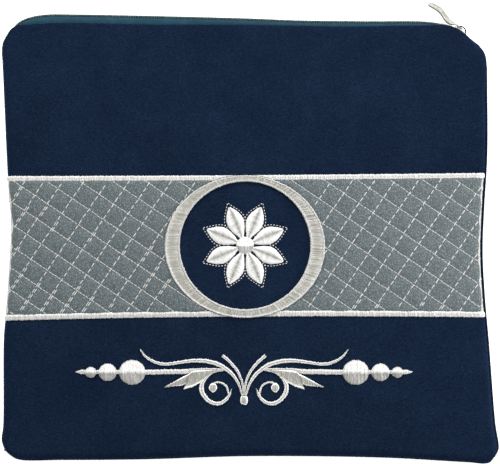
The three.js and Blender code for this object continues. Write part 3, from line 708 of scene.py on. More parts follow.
@dataclass(frozen=True)
class NappedCloth:
    """Short-napped navy cloth, mottled where the nap lies one way or the other."""

    dark: Colour = (0.0024, 0.0054, 0.0135)
    middle: Colour = (0.0048, 0.0098, 0.0225)
    light: Colour = (0.0085, 0.0172, 0.038)
    nap_scale: float = 2600.0
    speckle_scale: float = 1050.0
    patch_scale: float = 30.0
    relief: float = 0.22

    def build(self) -> bpy.types.Material:
        """Makes the material."""
        w = Weave("napped_cloth", 0.95, Sheen_Weight=0.13, Sheen_Roughness=0.3,
                  Sheen_Tint=(0.2, 0.5, 1.0, 1), Specular_IOR_Level=0.0)
        nap = w.noise(w.place(scale=(0.45, 1, 1), turn=0.3), self.nap_scale, 2, 0.6)
        speckle = w.noise(w.place(scale=(0.58, 1, 1), turn=0.12), self.speckle_scale, 2, 0.6, 0.5)
        patches = w.noise(w.place(), self.patch_scale, 3, 0.62, 0.4)
        shade = w.layered((nap, 0.36), (speckle, 0.46), (patches, 0.18))
        colour = w.ramp(shade, [(0.36, self.dark), (0.5, self.middle), (0.64, self.light)])
        return w.finish(colour, w.layered((nap, 0.5), (speckle, 0.5)), self.relief)


@dataclass(frozen=True)
class Leatherette:
    """Grey leatherette with a fine pebbled grain of its own uneven tone, darker in its creases and lighter on
    its crowns as painted shade and light.
    """

    painted_crease_shade: Colour = (0.038, 0.05, 0.053)
    base: Colour = (0.078, 0.097, 0.102)
    # Painted light on the grain's crowns.
    crown: Colour = (0.12, 0.142, 0.147)
    grain_scale: float = 720.0
    wave_scale: float = 900.0
    fine_scale: float = 2600.0
    warp_scale: float = 330.0
    warp: float = 0.0012
    relief: float = 0.2

    def build(self) -> bpy.types.Material:
        """Makes the material."""
        w = Weave("pebbled_leatherette", 0.5, Specular_IOR_Level=0.35)
        here = w.place(scale=(1, 0.68, 1), turn=0.2)
        push = w.math("MULTIPLY", w.noise(here, self.warp_scale), self.warp)
        push = w.add("CombineXYZ", {"X": push, "Y": push}).outputs[0]
        bent = w.add("VectorMath", {0: here, 1: push}, operation="ADD").outputs[0]
        cells = w.add("TexVoronoi", {"Vector": bent, "Scale": self.grain_scale}, feature="DISTANCE_TO_EDGE")
        grain = w.remap(cells.outputs["Distance"], 0, 0.3)
        waves = w.noise(here, self.wave_scale, 3, 0.6, 1.4)
        fine = w.noise(here, self.fine_scale)
        # The grain's edge distance paints shade into the creases and light onto the crowns; the waves are the
        # leatherette's own uneven tone.
        shade = w.layered((grain, 0.55), (waves, 0.45))
        colour = w.ramp(shade, [(0.2, self.painted_crease_shade), (0.52, self.base), (0.8, self.crown)])
        pebbles = w.layered((grain, 0.8), (waves, 0.5), (fine, 0.15))
        return w.finish(colour, pebbles, self.relief, w.remap(grain, 0, 1, 0.62, 0.44))


@dataclass(frozen=True)
class SatinThread:
    """Bright rayon thread laid side by side, each thread across the piece's run.

    Its patterns read the UV map, which gives the ways along and across the run in millimetres, and its
    brightest colour comes from the pieces' painted sheen: painted highlight and shade.
    """

    name: str = "satin_thread"
    shadow: Colour = (0.16, 0.155, 0.142)
    base: Colour = (0.36, 0.355, 0.338)
    light: Colour = (0.49, 0.486, 0.47)
    # The colour of the painted highlight, the ramp's top stop.
    painted_sheen: Colour = (0.66, 0.66, 0.645)
    pitch: float = 0.42
    bunch: float = 0.75
    painted_sheen_step: float = 0.28
    wobble: float = 1.1
    relief: float = 0.16

    def build(self) -> bpy.types.Material:
        """Makes the material."""
        w = Weave(self.name, 0.36, Sheen_Weight=0.1, Specular_IOR_Level=0.5)
        split = w.add("SeparateXYZ", {"Vector": w.place("UV")})
        wobble = w.math("MULTIPLY", w.noise(w.place("UV", (0.5, 0.22, 1)), 1.0, 2, 0.6), self.wobble)
        along = w.math("ADD", split.outputs["X"], wobble)
        rounded = w.remap(w.wave(along, self.pitch), -1, 1)
        lay = w.noise(w.place("UV", (2.1, 0.14, 1)), 1.0, 3, 0.6)
        bunches = w.noise(w.place("UV", (self.bunch, 0.07, 1)), 1.0, 3, 0.65)
        # Painted sheen: the pieces' attribute lifts the colour towards the painted highlight on rims, crests
        # and lit halves, and lowers it as painted shade in grooves.
        painted_sheen = w.add("Attribute", attribute_name=PAINTED_SHEEN).outputs["Fac"]
        shade = w.layered((rounded, 0.16), (lay, 0.3), (bunches, 0.54), (painted_sheen, self.painted_sheen_step))
        stops = [(0.3, self.shadow), (0.46, self.base), (0.62, self.light), (0.78, self.painted_sheen)]
        relief = w.layered((rounded, 0.7), (lay, 0.8), (bunches, 0.9))
        return w.finish(w.ramp(shade, stops), relief, self.relief)


@dataclass(frozen=True)
class WovenTape:
    """Teal tape, finely ribbed along its length."""

    dark: Colour = (0.007, 0.025, 0.039)
    light: Colour = (0.02, 0.058, 0.084)
    rib: float = 0.55
    cloud_scale: float = 120.0
    relief: float = 0.08

    def build(self) -> bpy.types.Material:
        """Makes the material."""
        w = Weave("woven_tape", 0.85, Sheen_Weight=0.02, Specular_IOR_Level=0.03)
        split = w.add("SeparateXYZ", {"Vector": w.place("UV")})
        ribs = w.wave(split.outputs["Y"], self.rib)
        picks = w.wave(split.outputs["X"], self.rib * 0.6)
        cross = w.remap(w.math("ADD", ribs, w.math("MULTIPLY", picks, 0.7)), -1.7, 1.7)
        cloudy = w.noise(w.place(), self.cloud_scale, 3, 0.6)
        shade = w.layered((cross, 0.5), (cloudy, 0.5))
        return w.finish(w.ramp(shade, [(0.25, self.dark), (0.75, self.light)]), cross, self.relief)


@dataclass(frozen=True)
class CoilNylon:
    """Nylon of the coils, with paler flecks laid at random as painted glints."""

    name: str = "coil_nylon"
    dark: Colour = (0.02, 0.045, 0.045)
    light: Colour = (0.13, 0.185, 0.175)
    roughness: float = 0.45
    gloss: float = 0.35
    glint_fleck_scale: float = 900.0
    relief: float = 0.02

    def build(self) -> bpy.types.Material:
        """Makes the material."""
        w = Weave(self.name, self.roughness, Specular_IOR_Level=self.gloss)
        # Painted glints: the noise lays paler flecks at random.
        glint_flecks = w.noise(w.place(), self.glint_fleck_scale, 2, 0.6)
        return w.finish(w.ramp(glint_flecks, [(0.35, self.dark), (0.65, self.light)]), glint_flecks, self.relief)


@dataclass(frozen=True)
class Nickel:
    """Nickel plate with fine rubbing marks."""

    name: str = "bright_nickel"
    dark: Colour = (0.17, 0.17, 0.147)
    light: Colour = (0.37, 0.366, 0.323)
    cloud_scale: float = 420.0
    mark_scale: float = 1800.0
    relief: float = 0.01

    def build(self) -> bpy.types.Material:
        """Makes the material."""
        w = Weave(self.name, 0.24, Metallic=1.0)
        cloudy = w.noise(w.place(), self.cloud_scale, 3, 0.6)
        marks = w.noise(w.place(scale=(0.15, 1, 1), turn=0.6), self.mark_scale)
        colour = w.ramp(cloudy, [(0.3, self.dark), (0.62, self.light)])
        return w.finish(colour, marks, self.relief, w.remap(cloudy, 0.3, 0.7, 0.32, 0.18))


@dataclass(frozen=True)
class Finishes:
    """Every material of the bag."""

    cloth: bpy.types.Material
    leatherette: bpy.types.Material
    satin: bpy.types.Material
    ring: bpy.types.Material
    tape: bpy.types.Material
    coil: bpy.types.Material
    core: bpy.types.Material
    nickel: bpy.types.Material
    worn_nickel: bpy.types.Material

    @classmethod
    def make(cls) -> "Finishes":
        """Makes them all."""
        ring = SatinThread(
            "ring_thread",
            shadow=(0.12, 0.116, 0.098),
            base=(0.29, 0.284, 0.25),
            light=(0.395, 0.39, 0.357),
            # The ring thread's painted highlight colour, reached on its rims.
            painted_sheen=(0.84, 0.835, 0.81),
            pitch=0.5,
            bunch=0.9,
        )
        core = CoilNylon("core_nylon", (0.003, 0.008, 0.01), (0.006, 0.016, 0.02), roughness=0.9, gloss=0.05)
        # The bail's nickel is painted near black: painted shade and a painted dark reflection on its arch.
        worn = Nickel("worn_nickel", (0.008, 0.009, 0.008), (0.04, 0.043, 0.039))
        return cls(
            cloth=NappedCloth().build(),
            leatherette=Leatherette().build(),
            satin=SatinThread().build(),
            ring=ring.build(),
            tape=WovenTape().build(),
            coil=CoilNylon().build(),
            core=core.build(),
            nickel=Nickel().build(),
            worn_nickel=worn.build(),
        )


# The bag's cloth


@dataclass
class ClothPanels:
    """The front and back panels, each a sheet of napped cloth rolled in at its seams."""

    form: BagForm
    wall: float = 1.6
    columns: int = 200
    rows: int = 184
    back_columns: int = 150
    back_rows: int = 136
    edge_share: float = 0.07
    edge_reach: float = 0.024
    seam_pinch: float = 0.9
    pinch_reach: float = 0.63
    mouth_dip: float = 0.6
    mouth_reach: float = 2.2

    def stations(self, shares: Array) -> Array:
        """Crowds evenly spaced shares towards both edges, where the cloth rolls over."""
        a, reach = self.edge_share, self.edge_reach
        knots = np.array([0, a, 1 - a, 1])
        flat = np.interp(shares, knots, [0, reach, 1 - reach, 1])
        edge = np.minimum(shares, 1 - shares)
        rolled = reach * (1 - np.cos(np.clip(edge / a, 0, 1) * math.pi / 2))
        rolled = np.where(shares < 0.5, rolled, 1 - rolled)
        return np.where(edge < a, rolled, flat)

    def pinched(self, shares: Array, length: float, at_end: bool) -> Array:
        """Draws the cloth in a little at its seams.

        Args:
            shares: Shares of the cloth's length.
            length: Its length.
            at_end: Whether it has a seam at its end, as it has at its start.

        Returns:
            The shares at which its points end up.
        """
        drawn = bump_at(shares * length, self.pinch_reach)
        if at_end:
            drawn = drawn - bump_at((1 - shares) * length, self.pinch_reach)
        return shares + self.seam_pinch * drawn / length

    def front(self, material: bpy.types.Material) -> bpy.types.Object:
        """Makes the front panel."""
        piece = add_grid("front_cloth", self.columns, self.rows)
        u, v = (self.stations(share) for share in shares_of(piece))
        spots = self.form.front(u, v)
        width, height = self.form.width, self.form.height
        spots[:, :2] = self.form.front_plan(self.pinched(u, width, True), self.pinched(v, height, False))
        spots[:, 2] -= self.mouth_dip * (1 - quarter_round((1 - v) * height / self.mouth_reach))
        move_points(piece, spots)
        thicken(piece, self.wall)
        smooth(piece, CLOTH_ANGLE)
        return dress(piece, material, ["front_panel"])

    def back(self, material: bpy.types.Material) -> bpy.types.Object:
        """Makes the back panel."""
        piece = add_grid("back_cloth", self.back_columns, self.back_rows)
        u, v = (self.stations(share) for share in shares_of(piece))
        move_points(piece, self.form.back(u, v))
        turn_over(piece)
        thicken(piece, self.wall)
        smooth(piece, CLOTH_ANGLE)
        return dress(piece, material, ["back_panel"])

    def build(self, finishes: Finishes) -> None:
        """Makes both panels."""
        self.front(finishes.cloth)
        self.back(finishes.cloth)


# Thread work: each section is rows of the shares across and up, and the painted sheen, which lifts the
# thread's colour as painted highlight on rims and crests and lowers it as painted shade in grooves and on
# sides turned from the light

Row = tuple[float, float, float]
# A rounded section, with a little painted highlight on its slopes.
ROUNDED: tuple[Row, ...] = (
    (0, 0, 0.1), (0, 0.36, 0.3), (0.05, 0.62, 0.5), (0.17, 0.88, 0.4), (0.34, 1, 0.1), (0.5, 1.04, 0),
    (0.66, 1, 0.1), (0.83, 0.88, 0.4), (0.95, 0.62, 0.5), (1, 0.36, 0.3), (1, 0, 0.1),
)
# A section split by a groove, with painted highlight on its rims and painted shade in the groove.
SPLIT: tuple[Row, ...] = (
    (0, 0, 0.5), (0, 0.36, 1.0), (0.06, 0.68, 1.4), (0.18, 0.95, 1.4), (0.32, 1, 0.6),
    (0.44, 0.84, -0.1), (0.5, 0.66, -0.4), (0.56, 0.84, -0.1),
    (0.68, 1, 0.6), (0.82, 0.95, 1.4), (0.94, 0.68, 1.4), (1, 0.36, 1.0), (1, 0, 0.5),
)
# A rounded section, with painted highlight on its sloping sides.
PAINTED_GLOSS: tuple[Row, ...] = (
    (0, 0, 0.2), (0, 0.36, 0.5), (0.06, 0.68, 0.8), (0.18, 0.92, 0.7), (0.35, 1, 0.35), (0.5, 1, 0.1),
    (0.65, 1, 0.35), (0.82, 0.92, 0.7), (0.94, 0.68, 0.8), (1, 0.36, 0.5), (1, 0, 0.2),
)
# A flat-topped section, with painted highlight on its rims and slight painted shade on its top.
RIMMED: tuple[Row, ...] = (
    (0, 0, 1.2), (0, 0.4, 1.8), (0.05, 0.75, 1.8), (0.12, 0.95, 1.0), (0.17, 1, -0.05), (0.5, 1.02, -0.1),
    (0.83, 1, -0.05), (0.88, 0.95, 1.0), (0.95, 0.75, 1.8), (1, 0.4, 1.8), (1, 0, 1.2),
)
# The beads' and the boss's section: its painted sheen lays a bright band on the crest and a lit upper half
# over a grey lower half, painted light and shade for light falling from above.
RIDGED: tuple[Row, ...] = (
    (0, 0, -0.1), (0, 0.14, -0.1), (0.05, 0.34, -0.1), (0.15, 0.56, -0.1), (0.28, 0.76, -0.1),
    (0.4, 0.91, -0.1), (0.45, 0.98, 0.2), (0.48, 1, 1.4), (0.6, 0.99, 1.5), (0.66, 0.94, 0.9),
    (0.8, 0.76, 0.6), (0.92, 0.48, 0.5), (1, 0.14, 0.2), (1, 0, 0),
)
# The point attribute that carries each piece's painted sheen to the thread's colour.
PAINTED_SHEEN = "painted_sheen"


def domed(height: float, cut: float = 0.02) -> Relief:
    """The relief of a round shape, cut off at a share of its run from both ends."""

    def relief(s: Array) -> Array:
        """The height at shares along the shape."""
        return height * np.sqrt(np.sin(math.pi * np.clip(s, cut, 1 - cut)))

    return relief


@dataclass(frozen=True)
class Stitch:
    """A running stitch: its pitch, and its length, width and thickness."""

    pitch: float
    size: tuple[float, float, float]


@dataclass
class Embroiderer:
    """Lays satin stitch and running stitch on the front cloth."""

    form: BagForm
    ridge: float = 0.72
    per_ridge: int = 3
    ridge_depth: float = 0.2
    ragged: float = 0.12
    uneven: float = 0.5
    seated: float = 0.3
    narrowest: float = 0.2
    # The painted sheen given over a run's ends, as at a rim.
    end_painted_sheen: float = 1.6

    def satin(
        self,
        name: str,
        place: Place,
        length: float,
        relief: float | Relief,
        lift: float = 0.1,
        closed: bool = False,
        section: Sequence[Row] = ROUNDED,
        seed: int = 1,
        end_rim: float = 0.0,
    ) -> bpy.types.Object:
        """Makes a raised satin-stitched shape, its threads across its run.

        Args:
            name: The piece's name.
            place: Gives plan places from shares along and across the shape.
            length: Its length along, in millimetres.
            relief: Its height, or a function that gives it at shares along.
            lift: How far its base is above the cloth.
            closed: Whether its end runs into its start.
            section: Its section: shares across and of the relief, and its painted sheen.
            seed: Sets the order of its small irregularities.
            end_rim: The share of its run at each end over which the thread is given the rim's painted
                highlight.

        Returns:
            The piece.
        """
        columns = max(9, round(length / self.ridge)) * self.per_ridge
        piece = add_grid(name, columns, len(section))
        s, t = shares_of(piece)
        row = np.rint(t * len(section)).astype(int) % len(section)
        across, up, painted_sheen = np.array(section)[row].T
        column = np.rint(s * columns).astype(int)
        random = np.random.default_rng(seed)
        ridges = columns // self.per_ridge + 1
        jitter = random.normal(0, self.ragged, (3, ridges))
        if closed:
            jitter[:, -1] = jitter[:, 0]
        low, high, tall = jitter[:, column // self.per_ridge]
        ends = np.linalg.norm(place(s, np.ones_like(s)) - place(s, np.zeros_like(s)), axis=-1)
        wide = np.maximum(ends, self.narrowest)
        spread = across + across * high / wide - (1 - across) * low / wide
        wave = np.cos(2 * math.pi * column / self.per_ridge)
        height = np.asarray(relief(s) if callable(relief) else relief) * up
        height = height * (1 - self.ridge_depth * (1 - wave) / 2 + tall * self.uneven)
        height = lift + height - np.where(up == 0, self.seated, 0)
        move_points(piece, self.form.on_front(place(s, spread), height))
        lay_uv(piece, s * length, across * wide)
        # Painted highlight at the ends, then each point's painted sheen stored for the thread's material.
        painted_sheen = np.where(np.minimum(s, 1 - s) < end_rim, self.end_painted_sheen, painted_sheen)
        layer = piece.data.attributes.new(PAINTED_SHEEN, "FLOAT", "POINT")
        layer.data.foreach_set("value", painted_sheen.astype(np.float32))
        close_up(piece, ends=not closed)
        smooth(piece, THREAD_ANGLE)
        return piece

    def ribbon(self, rows: Array, widths: Array) -> tuple[Place, float]:
        """A ribbon's plan places.

        Args:
            rows: The points of its middle line.
            widths: Its width at each.

        Returns:
            The places at shares along and across the ribbon, and its length.
        """
        line = Line(rows)

        def place(s: Array, w: Array) -> Array:
            """The plan place at shares along and across the ribbon."""
            wide = np.interp(line.knot_at(s), np.arange(len(widths)), widths)
            return line.at(s) + square_to(line.heading(s)) * ((w - 0.5) * wide)[..., None]

        return place, line.length

    def lens(
        self, middle: Sequence[float], radius: float, stretch: float = 1.0, square: float = 2.0
    ) -> tuple[Place, float]:
        """A round shape's plan places, its threads running up and down it.

        Args:
            middle: Its middle in plan.
            radius: Half its width.
            stretch: Its height over its width.
            square: 2 for an ellipse, less for a diamond with soft corners, more for a soft square.

        Returns:
            The places at shares across and up the shape, and its width.
        """

        def place(s: Array, w: Array) -> Array:
            """The plan place at shares across and up the shape."""
            x = -np.cos(math.pi * s)
            y = np.maximum(1 - np.abs(x) ** square, 0) ** (1 / square) * (2 * w - 1)
            return np.stack([middle[0] + radius * x, middle[1] + radius * stretch * y], -1)

        return place, 2 * radius

    def between(self, low: Array, high: Array) -> tuple[Place, float]:
        """The plan places of a shape between two edges, which may have corners.

        Args:
            low: The points of its lower edge.
            high: As many points of its upper edge.

        Returns:
            The places at shares along and across the shape, and its length.
        """
        steps = np.linalg.norm(np.diff((low + high) / 2, axis=0), axis=1)
        along = np.concatenate(([0], np.cumsum(steps)))

        def place(s: Array, w: Array) -> Array:
            """The plan place at shares along and across the shape."""
            way = s * along[-1]
            a, b = (np.stack([np.interp(way, along, edge[:, k]) for k in (0, 1)], -1) for edge in (low, high))
            return blend(a, b, w[..., None])

        return place, float(along[-1])

    def join(self, name: str, pieces: Sequence[bpy.types.Object]) -> bpy.types.Object:
        """Joins pieces into one."""
        deselect()
        for piece in pieces:
            piece.select_set(True)
        bpy.context.view_layer.objects.active = pieces[0]
        bpy.ops.object.join()
        return named(name)

    def stitch(self) -> bpy.types.Object:
        """Models one stitch of unit length, width and height, lying along X."""
        deselect()
        bpy.ops.mesh.primitive_uv_sphere_add(segments=8, ring_count=6, radius=0.5)
        piece = named("stitch")
        in_edit(piece)
        bpy.ops.transform.rotate(value=math.pi / 2, orient_axis="Y", center_override=(0, 0, 0))
        bpy.ops.object.mode_set(mode="OBJECT")
        spots = points_of(piece)
        spots[:, 0] = np.sign(spots[:, 0]) * np.abs(spots[:, 0] * 2) ** 0.8 / 2
        move_points(piece, spots / MM)
        return piece

    def strew(
        self, name: str, pattern: bpy.types.Object, origins: Array, axes: Array
    ) -> bpy.types.Object:
        """Copies a small pattern many times into one piece, and removes the pattern.

        Args:
            name: The piece's name.
            pattern: The shape to copy, in its own unit frame.
            origins: A row of x, y and z for each copy, in millimetres.
            axes: For each copy the three vectors that its X, Y and Z become.

        Returns:
            The piece.
        """
        unit = points_of(pattern)
        faces = [tuple(face.vertices) for face in pattern.data.polygons]
        spots = (origins[:, None, :] + np.einsum("pk,nkx->npx", unit, axes)).reshape(-1, 3)
        offsets = np.arange(len(origins)) * len(unit)
        copied = [tuple(int(v + o) for v in face) for o in offsets for face in faces]
        mesh = bpy.data.meshes.new(name)
        mesh.from_pydata((spots * MM).tolist(), [], copied)
        bpy.data.objects.remove(pattern)
        piece = bpy.data.objects.new(name, mesh)
        bpy.context.scene.collection.objects.link(piece)
        smooth(piece, STITCH_ANGLE)
        return piece

    def dashes(
        self, name: str, middles: Array, ways: Array, sizes: Array, height: float | Array
    ) -> bpy.types.Object:
        """Lays running stitches on the front cloth.

        Args:
            name: The piece's name.
            middles: Their plan places, a row each.
            ways: Their unit directions, a row each.
            sizes: Their lengths, widths and thicknesses, a row each.
            height: How high their middles are above the cloth, or a value for each.

        Returns:
            The piece.
        """
        half = ways * sizes[:, :1] / 2
        start = self.form.on_front(middles - half, np.broadcast_to(height, len(middles)))
        end = self.form.on_front(middles + half, np.broadcast_to(height, len(middles)))
        run = end - start
        aside = np.cross([0, 0, 1], run)
        aside /= np.linalg.norm(aside, axis=1, keepdims=True)
        up = np.cross(run, aside)
        up /= np.linalg.norm(up, axis=1, keepdims=True)
        axes = np.stack([run, aside * sizes[:, 1:2], up * sizes[:, 2:3]], axis=1)
        return self.strew(name, self.stitch(), (start + end) / 2, axes)


# The band and the medallion


@dataclass(frozen=True)
class Ellipse:
    """An upright ellipse in plan."""

    x: float
    y: float
    half_width: float
    half_height: float

    def at(self, turn: Array) -> Array:
        """The points at turns in radians from the right."""
        x = self.x + self.half_width * np.cos(turn)
        return np.stack([x, self.y + self.half_height * np.sin(turn)], -1)

    def half_chord(self, y: Array, gap: float) -> Array:
        """Half of its width at a height, with a gap round it."""
        share = 1 - ((y - self.y) / (self.half_height + gap)) ** 2
        return (self.half_width + gap) * np.sqrt(np.maximum(share, 0))


RING_INNER = Ellipse(-3.6, -4.7, 48.1, 47.0)
RING_OUTER = Ellipse(-3.7, -5.5, 59.0, 52.4)


@dataclass
class Band:
    """The quilted leatherette band with its lattice of stitches and its satin borders.

    A rising line of stitches is given by its distance from the origin, and sewn over by ways from
    its low end: up to the first of its three, and between the other two.
    """

    hand: Embroiderer
    top_width: float = 3.9
    bottom_width: float = 4.3
    side_width: float = 1.3
    side_inset: dict[Side, float] = field(default_factory=lambda: {Side.LEFT: 1.1, Side.RIGHT: 3.0})
    gap: float = 0.15
    half_middle: float = 115.0
    least_chord: float = 0.05
    search_rounds: int = 3
    border_run: float = 172.0
    border_relief: float = 1.45
    border_lift: float = 0.15
    side_run: float = 95.0
    side_relief: float = 0.95
    side_x_guess: float = 170.0
    side_tuck: float = 0.8
    sheet: float = 0.8
    base: float = 0.85
    puff: float = 0.75
    puff_reach: tuple[float, float] = (1.9, 2.2)
    size: tuple[float, float] = (118.0, 100.0)
    pitch: float = 1.0
    under_side: float = 0.7
    under_border: float = 0.85
    edge_span: tuple[float, float] = (110.0, 95.0)
    edge_dip: float = 0.35
    edge_reach: float = 1.2
    long: Stitch = Stitch(5.15, (3.95, 0.76, 0.62))
    short: Stitch = Stitch(2.75, (2.55, 0.56, 0.46))
    stitch_height: float = 0.12
    stitch_margin: float = -0.7
    line_reach: float = 230.0
    pitch_wander: float = 0.12
    line_wander: float = 0.09
    turn_wander: float = 0.035
    size_wander: float = 0.05
    rising: dict[Side, tuple[float, ...]] = field(
        default_factory=lambda: {
            Side.LEFT: (-161.1, -149.2, -137.8, -124.8, -110.2, -97.4, -84.5, -71.8, -57.0, -44.8, -32.6),
            Side.RIGHT: (25.3, 37.8, 51.2, 63.7, 77.8, 91.1, 104.5, 118.5, 131.1, 144.4, 157.4, 170.5),
        }
    )
    doubled: dict[Side, tuple[Row, ...]] = field(
        default_factory=lambda: {
            Side.LEFT: (
                (12, 0, 0), (20, 0, 0), (14, 40, 50), (24, 52, 62), (26, 0, 0), (18, 60, 72),
                (22, 0, 0), (12, 48, 56), (8, 44, 60), (0, 18, 40), (0, 14, 34),
            ),
            Side.RIGHT: ((4, 0, 0), (0, 0, 0), (6, 0, 0)) * 4,
        }
    )
    doubled_aside: float = 1.25
    doubled_ahead: float = 0.15
    falling_start: dict[Side, float] = field(default_factory=lambda: {Side.LEFT: -34.65, Side.RIGHT: 52.9})
    falling_pitch: float = 13.58
    falling_count: int = 14
    normal: tuple[float, float] = (0.83, -0.558)
    along: tuple[float, float] = (0.558, 0.83)
    rising_normal: tuple[float, float] = (0.8246, -0.5657)
    rising_along: tuple[float, float] = (0.5657, 0.8246)

    def low_line(self, x: Array, offset: float) -> Array:
        """The bottom border's outer line, raised by an offset."""
        return self.hand.form.bowed(self.hand.form.band_bottom, x) + offset

    def high_line(self, x: Array, offset: float) -> Array:
        """The top border's outer line, lowered by an offset."""
        return self.hand.form.bowed(self.hand.form.band_top, x) - offset

    def side_x(self, side: Side, y: Array, inset: float) -> Array:
        """How far across the bag's outline is at a height, less an inset."""
        line = self.hand.form.left if side is Side.LEFT else self.hand.form.right
        return np.interp(y, line.spots[:, 1], line.spots[:, 0]) - side.value * inset

    def half(self, side: Side, low: Relief, high: Relief, inset: float, upright: bool = False) -> Place:
        """Plan places on half of the band, between two lines, from the bag's side to the ring.

        Args:
            side: Which half.
            low: Gives the lower line's height at places across.
            high: Gives the upper line's.
            inset: How far it stays inside the bag's outline.
            upright: Whether its threads stand upright, and are cut off by the ring.

        Returns:
            The places at shares from left to right and from low to high.
        """

        def place(s: Array, w: Array) -> Array:
            """The plan place at shares from left to right and from low to high."""
            x = np.full_like(s, side.value * self.half_middle)
            for _ in range(self.search_rounds):
                y = blend(low(x), high(x), w)
                outer = self.side_x(side, y, inset)
                chord = np.maximum(RING_OUTER.half_chord(y, self.gap), self.least_chord)
                inner = RING_OUTER.x + side.value * (self.least_chord if upright else chord)
                left, right = (outer, inner) if side is Side.LEFT else (inner, outer)
                x = blend(left, right, s)
                if upright:
                    x = RING_OUTER.x + side.value * np.maximum(side.value * (x - RING_OUTER.x), chord)
            return np.stack([x, y], -1)

        return place

    def falling(self, side: Side) -> Array:
        """The lines that fall to the right, by their distance from the origin."""
        steps = np.arange(-self.falling_count, self.falling_count + 1)
        return self.falling_start[side] + self.falling_pitch * steps

    def puffed(self, side: Side, spots: Array) -> Array:
        """The height of the quilted leatherette over its lowest stitches."""
        a, b = spots @ np.array(self.rising_normal), spots @ np.array(self.along)
        from_rising = np.abs(a[..., None] - np.array(self.rising[side])).min(-1)
        from_falling = np.abs(b[..., None] - self.falling(side)).min(-1)
        by_rising, by_falling = self.puff_reach
        swell = (1 - np.exp(-from_rising / by_rising)) * (1 - np.exp(-from_falling / by_falling))
        return self.base + self.puff * swell

    def cover(self, side: Side, material: bpy.types.Material) -> None:
        """Makes half of the leatherette."""
        columns, rows = (round(reach / self.pitch) for reach in self.size)
        piece = add_grid(f"leatherette_{side.label}", columns, rows)
        s, w = shares_of(piece)
        inset = self.side_inset[side] + self.side_width * self.under_side
        low = partial(self.low_line, offset=self.bottom_width * self.under_border)
        high = partial(self.high_line, offset=self.top_width * self.under_border)
        spots = self.half(side, low, high, inset)(s, w)
        across, up = self.edge_span
        edge = np.minimum(np.minimum(s, 1 - s) * across, np.minimum(w, 1 - w) * up)
        height = self.puffed(side, spots) - self.edge_dip * bump_at(edge, self.edge_reach)
        move_points(piece, self.hand.form.on_front(spots, height))
        thicken(piece, self.sheet)
        smooth(piece, CLOTH_ANGLE)
        dress(piece, material, [f"band_{side.label}"])

    def inside(self, side: Side, spots: Array) -> Array:
        """Which plan places lie on the bare leatherette."""
        x, y = spots[:, 0], spots[:, 1]
        margin = self.stitch_margin
        inset = self.side_inset[side] + self.side_width + margin
        above = y > self.low_line(x, self.bottom_width + margin)
        below = y < self.high_line(x, self.top_width + margin)
        past_ring = side.value * (x - RING_OUTER.x) > RING_OUTER.half_chord(y, margin)
        return above & below & past_ring & (side.value * (self.side_x(side, y, inset) - x) > 0)

    def sewn_twice(self, side: Side, distance: float, spots: Array) -> Array:
        """Which stitches of a rising line are sewn over: by its low end, and in a second run.

        Args:
            side: Which half.
            distance: The line's distance from the origin.
            spots: The stitches' plan places, from its low end up.

        Returns:
            Whether each is.
        """
        inside = spots[self.inside(side, spots)]
        if not len(inside):
            return np.zeros(len(spots), bool)
        way = (spots - inside[0]) @ self.along
        first, start, end = self.doubled[side][self.rising[side].index(distance)]
        return (way < first) | ((way > start) & (way < end))

    def lattice(self, side: Side, material: bpy.types.Material) -> None:
        """Stitches the lattice of half of the band, in long and short stitches."""
        random = np.random.default_rng(11 + side.value)
        rise, across = np.array(self.along), np.array(self.normal)
        steep, square = np.array(self.rising_along), np.array(self.rising_normal)
        kinds = (
            ("long", self.long, self.rising[side], square, steep),
            ("short", self.short, self.falling(side), rise, across),
        )
        for kind, stitch, distances, normal, way in kinds:
            runs = []
            for distance in distances:
                steps = np.arange(-self.line_reach, self.line_reach, stitch.pitch)
                steps = steps + random.uniform(0, stitch.pitch)
                steps = steps + random.normal(0, self.pitch_wander, len(steps))
                aside = random.normal(0, self.line_wander, len(steps))
                runs.append((distance + aside)[:, None] * normal + steps[:, None] * way)
                if kind == "long":
                    ahead = self.doubled_ahead * stitch.pitch
                    beside = runs[-1] + self.doubled_aside * normal + ahead * way
                    runs.append(beside[self.sewn_twice(side, distance, beside)])
            middles = np.concatenate(runs)
            half = way * stitch.size[0] / 2
            middles = middles[self.inside(side, middles - half) & self.inside(side, middles + half)]
            turn = random.normal(0, self.turn_wander, len(middles))
            ways = way + square_to(way) * turn[:, None]
            sizes = np.array(stitch.size) * random.normal(1, self.size_wander, (len(middles), 3))
            height = self.puffed(side, middles) + self.stitch_height
            piece = self.hand.dashes(f"lattice_{kind}_{side.label}", middles, ways, sizes, height)
            dress(piece, material)

    def borders(self, side: Side, material: bpy.types.Material) -> None:
        """Makes the satin borders of half of the band."""
        inset, lift = self.side_inset[side], self.border_lift
        edges = (
            ("top", partial(self.high_line, offset=self.top_width), partial(self.high_line, offset=0)),
            ("bottom", partial(self.low_line, offset=0), partial(self.low_line, offset=self.bottom_width)),
        )
        for k, (kind, low, high) in enumerate(edges):
            place = self.half(side, low, high, inset, upright=True)
            name, seed = f"border_{kind}_{side.label}", 20 + 2 * k + side.value
            piece = self.hand.satin(
                f"{name}_satin", place, self.border_run, self.border_relief, lift, section=PAINTED_GLOSS, seed=seed
            )
            dress(piece, material, [name])

        def upright(s: Array, w: Array) -> Array:
            """The plan place at shares up and across the side border."""
            middle = side.value * self.side_x_guess
            low = self.low_line(middle, self.bottom_width * self.side_tuck)
            y = blend(low, self.high_line(middle, self.top_width * self.side_tuck), s)
            return np.stack([self.side_x(side, y, inset + self.side_width * (1 - w)), y], -1)

        name, seed = f"border_side_{side.label}", 31 + side.value
        piece = self.hand.satin(f"{name}_satin", upright, self.side_run, self.side_relief, lift, seed=seed)
        dress(piece, material, [name])

    def build(self, finishes: Finishes) -> None:
        """Makes both halves."""
        for side in Side:
            self.cover(side, finishes.leatherette)
            self.lattice(side, finishes.satin)
            self.borders(side, finishes.satin)


